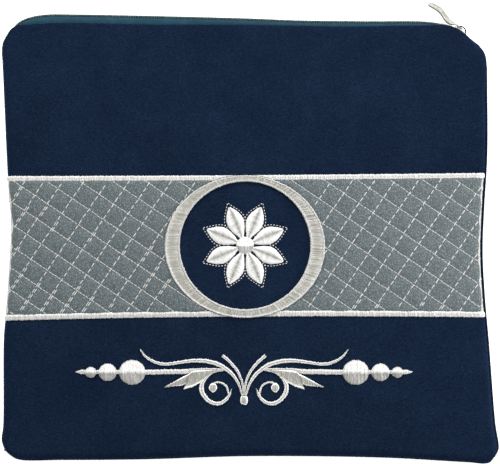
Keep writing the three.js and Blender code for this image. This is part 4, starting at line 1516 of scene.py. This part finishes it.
@dataclass
class Medallion:
    """The satin ring, with a rosette of eight petals in it."""

    hand: Embroiderer
    ring_run: float = 330.0
    ring_relief: float = 1.7
    edging: float = 1.5
    edging_run: float = 320.0
    edging_relief: float = 2.2
    lift: float = 0.15
    petals: int = 8
    petal_start: float = 4.5
    petal_length: float = 26.0
    petal_width: float = 12.5
    petal_relief: float = 1.7
    petal_ends: float = 0.1
    petal_lift: float = 0.12
    boss_radius: float = 6.5
    boss_relief: float = 2.4
    boss_lift: float = 0.2
    outline_gap: float = 1.5
    outline_start: float = 0.2
    outline_tip: float = 2.2
    stitch: Stitch = Stitch(2.1, (1.25, 0.62, 0.5))
    stitch_height: float = 0.12

    @property
    def centre(self) -> Array:
        """The ring's middle in plan."""
        return np.array([RING_INNER.x, RING_INNER.y])

    def fill(self, s: Array, w: Array) -> Array:
        """The plan place at shares round and across the ring."""
        turn = 2 * math.pi * s
        return blend(RING_INNER.at(turn), RING_OUTER.at(turn), w[..., None])

    def along_edge(self, edge: Ellipse, far: Ellipse) -> Place:
        """Plan places on the edging along one edge of the ring, by that edge and the far one."""

        def place(s: Array, w: Array) -> Array:
            """The plan place at shares round and across the edging."""
            turn = 2 * math.pi * s
            start = edge.at(turn)
            way = far.at(turn) - start
            way = way / np.linalg.norm(way, axis=-1, keepdims=True)
            return start + way * (w * self.edging)[..., None]

        return place

    def ring(self, finishes: Finishes) -> None:
        """Makes the ring's broad fill and its two bright edgings."""
        fill = self.hand.satin(
            "ring_fill", self.fill, self.ring_run, self.ring_relief, self.lift, True, seed=41
        )
        dress(fill, finishes.ring, ["medallion_ring"])
        edges = (("inner", RING_INNER, RING_OUTER, 42), ("outer", RING_OUTER, RING_INNER, 43))
        for name, edge, far, seed in edges:
            place, relief = self.along_edge(edge, far), self.edging_relief
            piece = self.hand.satin(
                f"ring_edging_{name}", place, self.edging_run, relief, self.lift, True, PAINTED_GLOSS, seed
            )
            dress(piece, finishes.satin)

    def petal_half_width(self, share: Array) -> Array:
        """Half of a petal's width at a share of its length."""
        swell = (1 - self.petal_ends) * np.sin(math.pi * np.clip(share, 0, 1) ** 1.15)
        return self.petal_width / 2 * (self.petal_ends + swell)

    def petal_height(self, share: Array) -> Array:
        """A petal's relief at a share of its length."""
        return self.petal_relief * (0.45 + 0.55 * np.sin(math.pi * np.clip(share, 0, 1) ** 0.9))

    def spine(self, out: Array, share: Array) -> Array:
        """The plan places at shares of a petal's length, by the way it points."""
        return self.centre + out * (self.petal_start + self.petal_length * share)[..., None]

    def petal(self, out: Array) -> Place:
        """A petal's plan places, by the way it points."""

        def place(s: Array, w: Array) -> Array:
            """The plan place at shares along and across the petal."""
            return self.spine(out, s) + square_to(out) * ((2 * w - 1) * self.petal_half_width(s))[..., None]

        return place

    def petal_outline(self, out: Array, hand: int) -> tuple[Array, Array]:
        """The stitches along one side of a petal, up to its tip.

        Args:
            out: The way the petal points.
            hand: -1 for its right side and 1 for its left.

        Returns:
            Their plan places and their directions.
        """
        share = np.linspace(self.outline_start, 1, 60)[::6]
        half = self.petal_half_width(share) + self.outline_gap
        side = self.spine(out, share) + square_to(out) * (hand * half)[:, None]
        reach = self.petal_start + self.petal_length + self.outline_tip * self.outline_gap
        line = Line(np.concatenate([side, [self.centre + out * reach]]))
        count = int(line.length / self.stitch.pitch)
        shares = (np.arange(count) + 0.5) / count
        return line.at(shares), line.heading(shares)

    def rosette(self, finishes: Finishes) -> None:
        """Makes the petals, the boss and the running stitch round them."""
        pieces, outlines = [], []
        for k in range(self.petals):
            turn = (k + 0.5) / self.petals * 2 * math.pi
            out = np.array([math.cos(turn), math.sin(turn)])
            petal, lift = self.petal(out), self.petal_lift
            pieces.append(
                self.hand.satin(
                    f"petal_{k}", petal, self.petal_length, self.petal_height, lift, False, SPLIT, 50 + k
                )
            )
            outlines += [self.petal_outline(out, hand) for hand in (-1, 1)]
        boss, across = self.hand.lens(self.centre, self.boss_radius)
        relief = domed(self.boss_relief)
        # The boss's section paints its crest and upper half bright and its lower half grey: painted light and
        # shade.
        pieces.append(self.hand.satin("boss", boss, across, relief, self.boss_lift, False, RIDGED, 60))
        rosette = self.hand.join("rosette_satin", pieces)
        dress(rosette, finishes.satin, ["medallion_rosette"])
        middles, ways = (np.concatenate(part) for part in zip(*outlines))
        sizes = np.tile(self.stitch.size, (len(middles), 1))
        outline = self.hand.dashes("rosette_outline", middles, ways, sizes, self.stitch_height)
        dress(outline, finishes.satin)

    def build(self, finishes: Finishes) -> None:
        """Makes the ring and the rosette."""
        self.ring(finishes)
        self.rosette(finishes)


# The scroll


@dataclass
class Scroll:
    """The embroidered scroll below the band, drawn for one side and mirrored.

    Its tables give shares of its reach: out from its middle line, up, and wide. A row of the leaf
    gives a place on its lower edge and one on its upper edge, and a drop its place, its half
    width, its height over its width and how square it is.
    """

    hand: Embroiderer
    middle: tuple[float, float] = (-4.4, -98.0)
    reach: float = 124.0
    relief: float = 1.25
    lift: float = 0.1
    leaf_lift: float = 0.08
    bead_relief: float = 3.2
    bead_stretch: float = 0.95
    over_bead: float = 0.2
    drop_cut: float = 0.03
    # How far in from each end a drop gets the rim's painted highlight.
    drop_rim: float = 0.24
    beads: tuple[Row, ...] = ((0.912, -0.002, 0.034), (0.811, -0.002, 0.0545), (0.6645, -0.002, 0.078))
    bar: tuple[Row, ...] = (
        (1.002, 0, 0.003),
        (0.985, 0, 0.014),
        (0.965, 0, 0.028),
        (0.935, -0.001, 0.025),
        (0.87, -0.001, 0.022),
        (0.74, -0.001, 0.025),
        (0.581, -0.001, 0.029),
        (0.46, 0.0015, 0.029),
        (0.338, 0.005, 0.0275),
        (0.315, 0.0125, 0.017),
        (0.295, 0.0165, 0.011),
        (0.2, 0.0184, 0.0105),
        (0.108, 0.017, 0.009),
    )
    tendril: tuple[Row, ...] = (
        (0.6185, 0.1353, 0.006),
        (0.5812, 0.0881, 0.0135),
        (0.5115, 0.0532, 0.0174),
        (0.4618, 0.0473, 0.018),
        (0.3872, 0.0567, 0.018),
        (0.3126, 0.0671, 0.021),
        (0.238, 0.0666, 0.0245),
        (0.1634, 0.0498, 0.0245),
        (0.1147, 0.0249, 0.023),
        (0.0645, -0.0199, 0.0195),
        (0.0355, -0.0646, 0.0155),
        (0.0165, -0.1183, 0.0115),
        (0.009, -0.145, 0.009),
    )
    vee: tuple[Row, ...] = (
        (0.128, 0.1, 0.0195),
        (0.0825, 0.0587, 0.0175),
        (0.0415, 0.009, 0.0155),
        (0.0165, -0.0437, 0.0135),
        (0.005, -0.0935, 0.011),
        (0.002, -0.135, 0.009),
    )
    volute: tuple[Row, ...] = (
        (0.1087, 0.0149, 0.008),
        (0.1435, 0.009, 0.009),
        (0.1833, -0.001, 0.01),
        (0.2156, -0.0248, 0.012),
        (0.239, -0.0537, 0.018),
        (0.2519, -0.08, 0.0265),
        (0.25, -0.1155, 0.027),
        (0.2321, -0.149, 0.0255),
        (0.2032, -0.1755, 0.0235),
        (0.1659, -0.188, 0.0215),
        (0.1336, -0.1825, 0.02),
        (0.1037, -0.16, 0.0185),
        (0.0863, -0.1333, 0.0135),
        (0.0729, -0.0994, 0.0025),
    )
    curl: tuple[Row, ...] = (
        (0.0888, -0.1407, 0.009),
        (0.0953, -0.1134, 0.0115),
        (0.1037, -0.0885, 0.0112),
        (0.1236, -0.0696, 0.011),
        (0.151, -0.0611, 0.0105),
        (0.1758, -0.0661, 0.0105),
        (0.1858, -0.0785, 0.011),
    )
    leaf: tuple[tuple[float, float, float, float], ...] = (
        (0.1659, 0.005, 0.1659, 0.0149),
        (0.2132, -0.0238, 0.2132, 0.0149),
        (0.2355, -0.0462, 0.248, 0.0149),
        (0.2669, -0.0686, 0.2728, 0.0149),
        (0.3027, -0.086, 0.2927, 0.014),
        (0.3609, -0.1044, 0.3101, 0.01),
        (0.3449, -0.0696, 0.325, -0.0079),
        (0.3698, -0.081, 0.3623, -0.0273),
        (0.422, -0.0845, 0.4121, -0.0552),
        (0.4737, -0.0915, 0.4737, -0.09),
    )
    side_drop: tuple[float, float, float, float, float] = (0.1848, -0.0925, 0.0245, 1.18, 1.6)
    middle_drop: tuple[float, float, float, float, float] = (0, -0.167, 0.0222, 1.2, 3.0)

    def placed(self, side: Side, out: float, up: float) -> Array:
        """The plan place of shares out from the middle line and up."""
        return np.array([self.middle[0] + side.value * out * self.reach, self.middle[1] + up * self.reach])

    def ribbon(
        self,
        side: Side,
        rows: Sequence[Row],
        relief: float | Relief,
        lift: float,
        section: Sequence[Row],
        seed: int,
    ) -> bpy.types.Object:
        """Makes a satin ribbon from a table.

        Args:
            side: Which side of the scroll it is on.
            rows: The table.
            relief: Its height, or a function that gives it at shares along.
            lift: How far its base is above the cloth.
            section: Its section.
            seed: Sets the order of its small irregularities.

        Returns:
            The ribbon.
        """
        knots = np.array([self.placed(side, out, up) for out, up, _ in rows])
        place, length = self.hand.ribbon(knots, np.array([wide for *_, wide in rows]) * self.reach)
        return self.hand.satin("ribbon", place, length, relief, lift, section=section, seed=seed)

    def over_beads(self, s: Array) -> Array:
        """How high the bar, which passes over the beads, stands at shares along it."""
        out = blend(self.bar[0][0], self.bar[-1][0], s)
        rise = np.zeros_like(s)
        for middle, _, radius in self.beads:
            inside = np.clip(1 - ((out - middle) / radius) ** 2, 0, 1)
            rise = np.maximum(rise, self.bead_relief * inside**0.35)
        return np.maximum(self.relief * np.clip(s * 18, 0.4, 1), rise + self.over_bead)

    def strokes(self, side: Side, seed: int) -> list[bpy.types.Object]:
        """Makes one side's ribbons, each a little above those that it crosses."""
        rows = (
            (self.volute, self.relief, 0.1, SPLIT),
            (self.bar, self.over_beads, 0.12, PAINTED_GLOSS),
            (self.tendril, self.relief * 1.12, 0.16, SPLIT),
            (self.vee, self.relief * 1.2, 0.2, SPLIT),
            (self.curl, self.relief * 0.7, 0.1, PAINTED_GLOSS),
        )
        return [self.ribbon(side, *row, seed + k) for k, row in enumerate(rows)]

    def string(self, side: Side, seed: int) -> list[bpy.types.Object]:
        """Makes one side's beads."""
        pieces = []
        for k, (out, up, radius) in enumerate(self.beads):
            place, across = self.hand.lens(self.placed(side, out, up), radius * self.reach, self.bead_stretch)
            relief = domed(self.bead_relief)
            # The beads' section paints a bright crest band and a lit upper half over a grey lower half:
            # painted light and shade.
            pieces.append(self.hand.satin("bead", place, across, relief, self.lift, False, RIDGED, seed + k))
        return pieces

    def half(self, side: Side, finishes: Finishes) -> None:
        """Makes one side of the scroll."""
        seed = 70 if side is Side.LEFT else 90
        name = f"scroll_{side.label}"
        piece = self.hand.join(f"{name}_satin", self.strokes(side, seed) + self.string(side, seed + 5))
        dress(piece, finishes.satin, [name])
        low, high = (np.array([self.placed(side, *row[k:k + 2]) for row in self.leaf]) for k in (0, 2))
        leaf, length = self.hand.between(low, high)
        piece = self.hand.satin(
            f"{name}_leaf", leaf, length, self.relief, self.leaf_lift, section=RIMMED, seed=seed + 10
        )
        dress(piece, finishes.ring)

    def drop(self, name: str, side: Side, row: Sequence[float], finishes: Finishes, seed: int) -> None:
        """Makes a small drop.

        Args:
            name: The solid that it replaces.
            side: Which side of the scroll it is on.
            row: Its row.
            finishes: The bag's materials.
            seed: Sets the order of its small irregularities.
        """
        out, up, radius, stretch, square = row
        place, across = self.hand.lens(self.placed(side, out, up), radius * self.reach, stretch, square)
        relief, rim = domed(self.relief, self.drop_cut), self.drop_rim
        # Its ends and rims get painted highlight.
        piece = self.hand.satin(f"{name}_satin", place, across, relief, self.lift, False, RIMMED, seed, rim)
        dress(piece, finishes.ring, [name])

    def build(self, finishes: Finishes) -> None:
        """Makes the whole scroll."""
        for side in Side:
            self.half(side, finishes)
            self.drop(f"scroll_drop_{side.label}", side, self.side_drop, finishes, 110 + side.value)
        self.drop("scroll_drop_centre", Side.RIGHT, self.middle_drop, finishes, 113)


# The zip


@dataclass
class Zip:
    """The zip along the top: two tapes, and between them the coils, standing on edge."""

    hand: Embroiderer
    height: float = 7.9
    tooth_pitch: float = 1.3
    coil_offset: float = 1.22
    coil_reach: tuple[float, float, float] = (1.13, 0.9, 1.35)
    coil_lean: float = 0.2
    wire: float = 0.22
    core: tuple[float, float] = (0.45, 2.2)
    core_gap: float = 0.15
    core_columns: int = 260
    tape_grid: tuple[int, int] = (230, 16)
    tape_thickness: float = 0.6
    tape_width: float = 12.0
    tape_tuck: float = 7.0
    tape_scale: float = 10.0
    tape_crowding: float = 1.6
    tape_start: float = -0.934
    tape_end: float = 0.79
    front_tape: tuple[tuple[float, float], ...] = (
        (1, 11.6), (0.55, 11.6), (0.2, 11.5), (0.06, 10.8), (0, 9.4))
    back_tape: tuple[tuple[float, float], ...] = (
        (1, 2.6), (0.5, 2.7), (0.2, 3.4), (0.06, 4.7), (0, 6.4))
    slider_place: tuple[float, float] = (155.0, 152.5)
    slider_turn: float = -0.628
    slider_length: float = 11.0
    path_table: tuple[tuple[float, float], ...] = (
        (-0.9395, 0.9655),
        (-0.9265, 0.9795),
        (-0.9044, 0.9933),
        (-0.8784, 1.0033),
        (-0.8186, 1.0142),
        (-0.7, 1.0147),
        (-0.365, 1.0074),
        (0, 0.9965),
        (0.1925, 0.9879),
        (0.4492, 0.9842),
        (0.6778, 0.9838),
        (0.722, 0.98),
        (0.756, 0.9745),
    )

    def __post_init__(self) -> None:
        """Draws the chain's line, which enters the slider straight."""
        form = self.hand.form
        way = np.array([math.cos(self.slider_turn), math.sin(self.slider_turn)])
        entry = self.slider_length / 2
        straight = [self.slider_place - way * back for back in (1.35 * entry, entry, entry / 2, 0)]
        table = np.array(self.path_table) * (form.half_width, form.half_height)
        self.path = Line(np.concatenate([table, straight]))

    def tape(self, name: str, stops: Sequence[tuple[float, float]], up: bool) -> bpy.types.Object:
        """Makes a tape, from its place under a panel to the coils.

        Args:
            name: The piece's name.
            stops: Its section, as shares of the way down from the coils and heights.
            up: Whether its outer face looks up.

        Returns:
            The piece.
        """
        form = self.hand.form
        section = Line(np.array(stops) * (self.tape_scale, 1))
        piece = add_grid(name, *self.tape_grid)
        s, t = shares_of(piece)
        x = blend(self.tape_start, self.tape_end, s) * form.half_width
        share = self.path.share_at_x(x)
        beside = self.core[0] + self.core_gap
        near = self.path.at(share)[:, 1] - beside / self.path.heading(share)[:, 0]
        hem = form.top.at(form.top.share_at_x(x))[:, 1]
        tucked = np.minimum(near, hem) - self.tape_tuck
        spot = section.at(1 - (1 - t) ** self.tape_crowding)
        y = blend(near, tucked, spot[:, 0] / self.tape_scale)
        move_points(piece, np.stack([x, y, spot[:, 1]], 1))
        lay_uv(piece, s * self.path.length, t * self.tape_width)
        if not up:
            turn_over(piece)
        thicken(piece, self.tape_thickness)
        smooth(piece, CLOTH_ANGLE)
        return piece

    def coil(self, name: str, side: int) -> bpy.types.Object:
        """Winds a coil along the chain, one turn copied along its length.

        Args:
            name: The piece's name.
            side: 1 for the front coil and -1 for the back one.

        Returns:
            The piece.
        """
        deselect()
        bpy.ops.mesh.primitive_torus_add(
            major_segments=12, minor_segments=6, major_radius=1, minor_radius=self.wire
        )
        turn = named("coil_turn")
        count = int(self.path.length / self.tooth_pitch)
        shares = (np.arange(count) + (0.25 if side > 0 else 0.75)) / count
        way = self.path.heading(shares)
        along, aside = (np.pad(flat, ((0, 0), (0, 1))) for flat in (way, square_to(way)))
        up = np.broadcast_to([0.0, 0.0, 1.0], along.shape)
        tall, thick, run = self.coil_reach
        leaning = up * math.cos(self.coil_lean) + along * math.sin(self.coil_lean) * side
        axes = np.stack([leaning * tall, aside * thick, along * run], 1)
        centre = np.pad(self.path.at(shares), ((0, 0), (0, 1)))
        centre[:, 2] = self.height + side * self.coil_offset
        return self.hand.strew(name, turn, centre, axes)

    def core_bar(self) -> bpy.types.Object:
        """Makes the dark middle that the coils close round."""
        half, tall = self.core
        section = np.array([(-half, -tall), (half, -tall), (half, tall), (-half, tall)])
        piece = add_grid("zip_core", self.core_columns, len(section))
        s, t = shares_of(piece)
        off, up = section[np.rint(t * len(section)).astype(int) % len(section)].T
        spots = self.path.at(s) + square_to(self.path.heading(s)) * off[:, None]
        move_points(piece, np.concatenate([spots, (self.height + up)[:, None]], 1))
        close_up(piece)
        smooth(piece)
        return piece

    def build(self, finishes: Finishes) -> None:
        """Makes the tapes and the coils."""
        front = self.tape("zip_tape_front_cloth", self.front_tape, True)
        dress(front, finishes.tape, ["zip_tape_front"])
        back = self.tape("zip_tape_back_cloth", self.back_tape, False)
        dress(back, finishes.tape, ["zip_tape_back"])
        dress(self.core_bar(), finishes.core, ["zip_chain"])
        for name, side in (("zip_coil_front", 1), ("zip_coil_back", -1)):
            dress(self.coil(name, side), finishes.coil)


@dataclass
class Slider:
    """The nickel slider with its bail, and the pull that swings on it.

    Its own frame has X along the chain towards its end, Y down and Z out of the bag.
    """

    zip: Zip
    width: float = 8.4
    rear_width: float = 6.4
    plate: float = 1.1
    plate_face: float = 2.55
    bevel: float = 0.28
    lip: tuple[float, float, float] = (5.6, 0.5, 0.9)
    post: tuple[float, float] = (2.2, 2.6)
    bail_span: float = 8.3
    bail_rise: float = 3.2
    bail_thickness: float = 1.4
    bail_width: float = 2.4
    hinge: float = 1.05
    eye: tuple[float, float, float] = (4.7, 3.4, 0.9)
    pull_length: float = 31.4
    pull_width: float = 6.4
    pull_thickness: float = 1.0
    pull_twist: float = 0.62
    pull_drop: float = 3.2
    pull_grid: tuple[int, int] = (96, 14)
    pull_bevel: float = 0.22
    rim: float = 0.75
    rim_ends: float = 1.6
    rim_step: tuple[float, float] = (0.15, 0.16)
    squareness: float = 0.42
    flare: tuple[float, float] = (0.1, 0.7)
    pull_table: tuple[tuple[float, float, float, float], ...] = (
        (-0.0143, 0.82, 0, 0),
        (0.085, 0.82, 0, 0),
        (0.17, 0.84, -0.001, 0),
        (0.22, 0.88, -0.012, 0.35),
        (0.29, 0.94, -0.031, 0.8),
        (0.395, 1, -0.026, 1),
        (0.497, 1, 0.002, 1),
        (0.6, 1, 0.042, 1),
        (0.68, 1, 0.06, 1),
        (0.783, 0.98, 0.061, 1),
        (0.895, 0.94, 0.049, 1),
        (0.965, 0.82, 0.033, 1),
        (1, 0.5, 0.025, 1),
    )

    def into_place(self, piece: bpy.types.Object, out: float = 0.0) -> None:
        """Moves a piece's points from the slider's frame to the bag's.

        Args:
            piece: The piece.
            out: How far out of the slider's middle the piece's own origin is.
        """
        turn = self.zip.slider_turn
        ahead, out_of_bag = (math.cos(turn), math.sin(turn), 0), (-math.sin(turn), math.cos(turn), 0)
        axes = np.array([ahead, (0, 0, -1), out_of_bag])
        local = points_of(piece) / MM + (0, 0, out)
        move_points(piece, local @ axes + (*self.zip.slider_place, self.zip.height))

    def plate_piece(self, side: int) -> bpy.types.Object:
        """Makes a plate: a disc drawn to the slider's plan, given its thickness and bevelled.

        Args:
            side: 1 for the outer plate and -1 for the inner one.

        Returns:
            The plate, in the slider's frame.
        """
        deselect()
        bpy.ops.mesh.primitive_circle_add(vertices=48, radius=1, fill_type="NGON")
        piece = named("plate")
        spots = points_of(piece)
        reach = self.zip.slider_length / 2
        x, y = (np.sign(spots[:, :2]) * np.abs(spots[:, :2]) ** self.squareness).T
        start, span = self.flare
        share = np.clip((x - start) / span, 0, 1)
        half = blend(self.rear_width / 2, self.width / 2, eased(share))
        low = self.plate_face - self.plate if side > 0 else -self.plate_face
        move_points(piece, np.stack([x * reach, y * half, np.full_like(half, low)], 1))
        in_edit(piece)
        bpy.ops.mesh.extrude_region_move(TRANSFORM_OT_translate={"value": (0, 0, self.plate * MM)})
        turn_out()
        soften(piece, self.bevel, 3, 50)
        return piece

    def block(self, size: Sequence[float], centre: Sequence[float]) -> bpy.types.Object:
        """Makes a small block with rounded edges."""
        deselect()
        bpy.ops.mesh.primitive_cube_add(size=1)
        piece = named("block")
        move_points(piece, points_of(piece) * size + centre)
        soften(piece, min(size) * 0.3, 2, 30)
        return piece

    def bail(self) -> bpy.types.Object:
        """Makes the bail: a ring flattened to its rise and cut off at the plate."""
        deselect()
        half = self.bail_thickness / 2
        ring = self.bail_span / 2 - half
        bpy.ops.mesh.primitive_torus_add(
            major_segments=48, minor_segments=14, major_radius=ring * MM, minor_radius=half * MM,
            rotation=(math.pi / 2, 0, 0),
        )
        piece = named("bail")
        bpy.ops.object.transform_apply(location=True, rotation=True, scale=True)
        scale = (1, self.bail_width / self.bail_thickness, self.bail_rise / (self.bail_span / 2))
        move_points(piece, points_of(piece) / MM * scale)
        in_edit(piece)
        bpy.ops.mesh.bisect(
            plane_co=(0, 0, -self.plate * MM / 2), plane_no=(0, 0, 1), clear_inner=True, use_fill=True
        )
        bpy.ops.object.mode_set(mode="OBJECT")
        self.into_place(piece, self.plate_face)
        smooth(piece, METAL_ANGLE)
        return piece

    def body(self) -> bpy.types.Object:
        """Makes the slider's two plates, their lips and the post."""
        length, thick, tip = self.lip
        inner = self.plate_face - self.plate
        tall = inner - tip + 0.3
        side = self.rear_width / 2 - thick / 2
        pieces = [self.plate_piece(1), self.plate_piece(-1)]
        for up in (1, -1):
            for hand in (1, -1):
                centre = (-self.zip.slider_length / 2 + length / 2 + 0.5, hand * side, up * (tip + tall / 2))
                pieces.append(self.block((length, thick, tall), centre))
        reach = self.zip.slider_length / 2 - self.post[0] / 2 - 1
        pieces.append(self.block((*self.post, 2 * self.plate_face - self.plate), (reach, 0, 0)))
        piece = self.zip.hand.join("slider_body", pieces)
        self.into_place(piece)
        smooth(piece, METAL_ANGLE)
        return piece

    def bent(self, flat: Array) -> Array:
        """Carries points of the flat pull to its twisted and wavy shape."""
        table = np.array(self.pull_table)
        values = [Line(np.stack([table[:, 0], column], 1) * 100) for column in table[:, 2:].T]
        along = -flat[:, 0] / self.pull_length
        rise, twist = (np.interp(along * 100, line.spots[:, 0], line.spots[:, 1]) / 100 for line in values)
        turn = np.clip(twist, 0, 1.02) * self.pull_twist
        off, high = flat[:, 1], flat[:, 2]
        y = off * np.cos(turn) - high * np.sin(turn) + self.pull_drop * np.clip(along, 0, 1)
        z = rise * self.pull_length + off * np.sin(turn) + high * np.cos(turn)
        return np.stack([flat[:, 0], y, z], 1)

    def half_width(self, along: Array) -> Array:
        """Half of the pull's width at shares of its length."""
        wide = Line(np.array(self.pull_table)[:, :2] * 100)
        half = np.interp(along * 100, wide.spots[:, 0], wide.spots[:, 1]) / 200 * self.pull_width
        return half * np.sqrt(np.clip((1.012 - along) / 0.045, 0, 1)) ** 0.7

    def pull(self) -> bpy.types.Object:
        """Makes the pull: a strip with an eye and a raised rim, rounded, then twisted."""
        piece = add_grid("pull_tab", *self.pull_grid)
        s, t = shares_of(piece)
        along = blend(self.pull_table[0][0], 1, s)
        aside = (2 * t - 1) * self.half_width(along)
        move_points(piece, np.stack([-along * self.pull_length, aside, np.zeros_like(s)], 1))
        in_edit(piece, select=False)
        bpy.ops.object.mode_set(mode="OBJECT")
        length, opening, bar = self.eye
        for face in piece.data.polygons:
            x, y, _ = face.center / MM
            face.select = -length < x < -bar / 2 and abs(y) < opening / 2
        bpy.ops.object.mode_set(mode="EDIT")
        bpy.ops.mesh.select_mode(type="FACE")
        bpy.ops.mesh.delete(type="FACE")
        bpy.ops.object.mode_set(mode="OBJECT")
        thicken(piece, self.pull_thickness, 0)
        start, end = self.rim_ends - self.pull_length, -length - self.rim_ends
        for face in piece.data.polygons:
            x, y, _ = face.center / MM
            inside = abs(y) < float(self.half_width(-x / self.pull_length)) - self.rim
            face.select = inside and abs(face.normal.z) > 0.9 and start < x < end
        bpy.ops.object.mode_set(mode="EDIT")
        wide, deep = self.rim_step
        bpy.ops.mesh.inset(thickness=wide * MM, depth=-deep * MM)
        turn_out()
        soften(piece, self.pull_bevel, 2, 60)
        move_points(piece, self.bent(points_of(piece) / MM))
        self.into_place(piece, self.plate_face + self.hinge)
        smooth(piece)
        return piece

    def build(self, finishes: Finishes) -> None:
        """Makes the slider and the pull."""
        dress(self.body(), finishes.nickel, ["zip_slider"])
        # The bail gets the near-black nickel of painted shade and dark reflection.
        dress(self.bail(), finishes.worn_nickel)
        dress(self.pull(), finishes.nickel, ["zip_pull"], "pull")


# The room


@dataclass(frozen=True)
class Lamp:
    """A square lamp that faces the bag, with its size in metres and its power in watts."""

    name: str
    place: tuple[float, float, float]
    size: float
    power: float


@dataclass
class Room:
    """The pale floor, the soft lights and the camera above the bag."""

    camera_height: float = 3.0
    subject_height: float = 0.010
    frame_width: float = 0.370
    aim: tuple[float, float] = (0.0, 0.0052)
    sensor: float = 36.0
    floor_size: float = 30.0
    floor_gap: float = 0.0002
    floor_glow: float = 0.5
    lamps: tuple[Lamp, ...] = (
        Lamp("key_lamp", (-0.42, 2.1, 1.6), 1.3, 92),
        Lamp("side_lamp", (1.6, -0.1, 0.6), 0.7, 28),
    )
    sky_low: float = 0.3
    sky_high: float = 1.05

    def floor(self) -> None:
        """Lays the floor."""
        deselect()
        bpy.ops.mesh.primitive_plane_add(size=self.floor_size, location=(0, 0, -self.floor_gap))
        floor = named("floor")
        white = (0.93, 0.93, 0.93, 1)
        w = Weave("light_table", 0.85, Specular_IOR_Level=0.2, Base_Color=white, Emission_Color=white,
                  Emission_Strength=self.floor_glow)
        floor.data.materials.append(w.material)

    def hang(self, lamp: Lamp) -> None:
        """Hangs a lamp."""
        deselect()
        bpy.ops.object.light_add(type="AREA", location=lamp.place)
        light = named(lamp.name)
        light.data.size, light.data.energy = lamp.size, lamp.power
        light.rotation_euler = (-Vector(lamp.place)).to_track_quat("-Z", "Y").to_euler()

    def camera(self) -> None:
        """Sets the camera straight above, with the photograph's width of view."""
        deselect()
        bpy.ops.object.camera_add(location=(*self.aim, self.camera_height), rotation=(0, 0, 0))
        camera = named("camera")
        camera.data.sensor_width = self.sensor
        reach = self.camera_height - self.subject_height
        camera.data.lens = self.sensor * reach / self.frame_width
        camera.data.clip_end = 100
        bpy.context.scene.camera = camera

    def build(self) -> None:
        """Sets up the room."""
        self.floor()
        for lamp in self.lamps:
            self.hang(lamp)
        self.camera()
        self.sky()
        bpy.context.scene.view_settings.view_transform = "Standard"

    def sky(self) -> None:
        """Makes the room's soft white light, brightest overhead."""
        world = bpy.context.scene.world or bpy.data.worlds.new("room")
        bpy.context.scene.world = world
        world.use_nodes = True
        nodes, links = world.node_tree.nodes, world.node_tree.links
        split, strength = nodes.new("ShaderNodeSeparateXYZ"), nodes.new("ShaderNodeMapRange")
        links.new(nodes.new("ShaderNodeTexCoord").outputs["Generated"], split.inputs[0])
        links.new(split.outputs["Z"], strength.inputs["Value"])
        strength.inputs["To Min"].default_value = self.sky_low
        strength.inputs["To Max"].default_value = self.sky_high
        nodes["Background"].inputs["Color"].default_value = (1, 1, 1, 1)
        links.new(strength.outputs["Result"], nodes["Background"].inputs["Strength"])


def main() -> None:
    """Builds the bag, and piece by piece."""
    logging.basicConfig(level=logging.INFO, format="%(message)s")
    Room().build()
    finishes = Finishes.make()
    form = BagForm()
    ClothPanels(form).build(finishes)
    hand = Embroiderer(form)
    Band(hand).build(finishes)
    Medallion(hand).build(finishes)
    Scroll(hand).build(finishes)
    chain = Zip(hand)
    chain.build(finishes)
    Slider(chain).build(finishes)


if __name__ == "__main__":
    main()
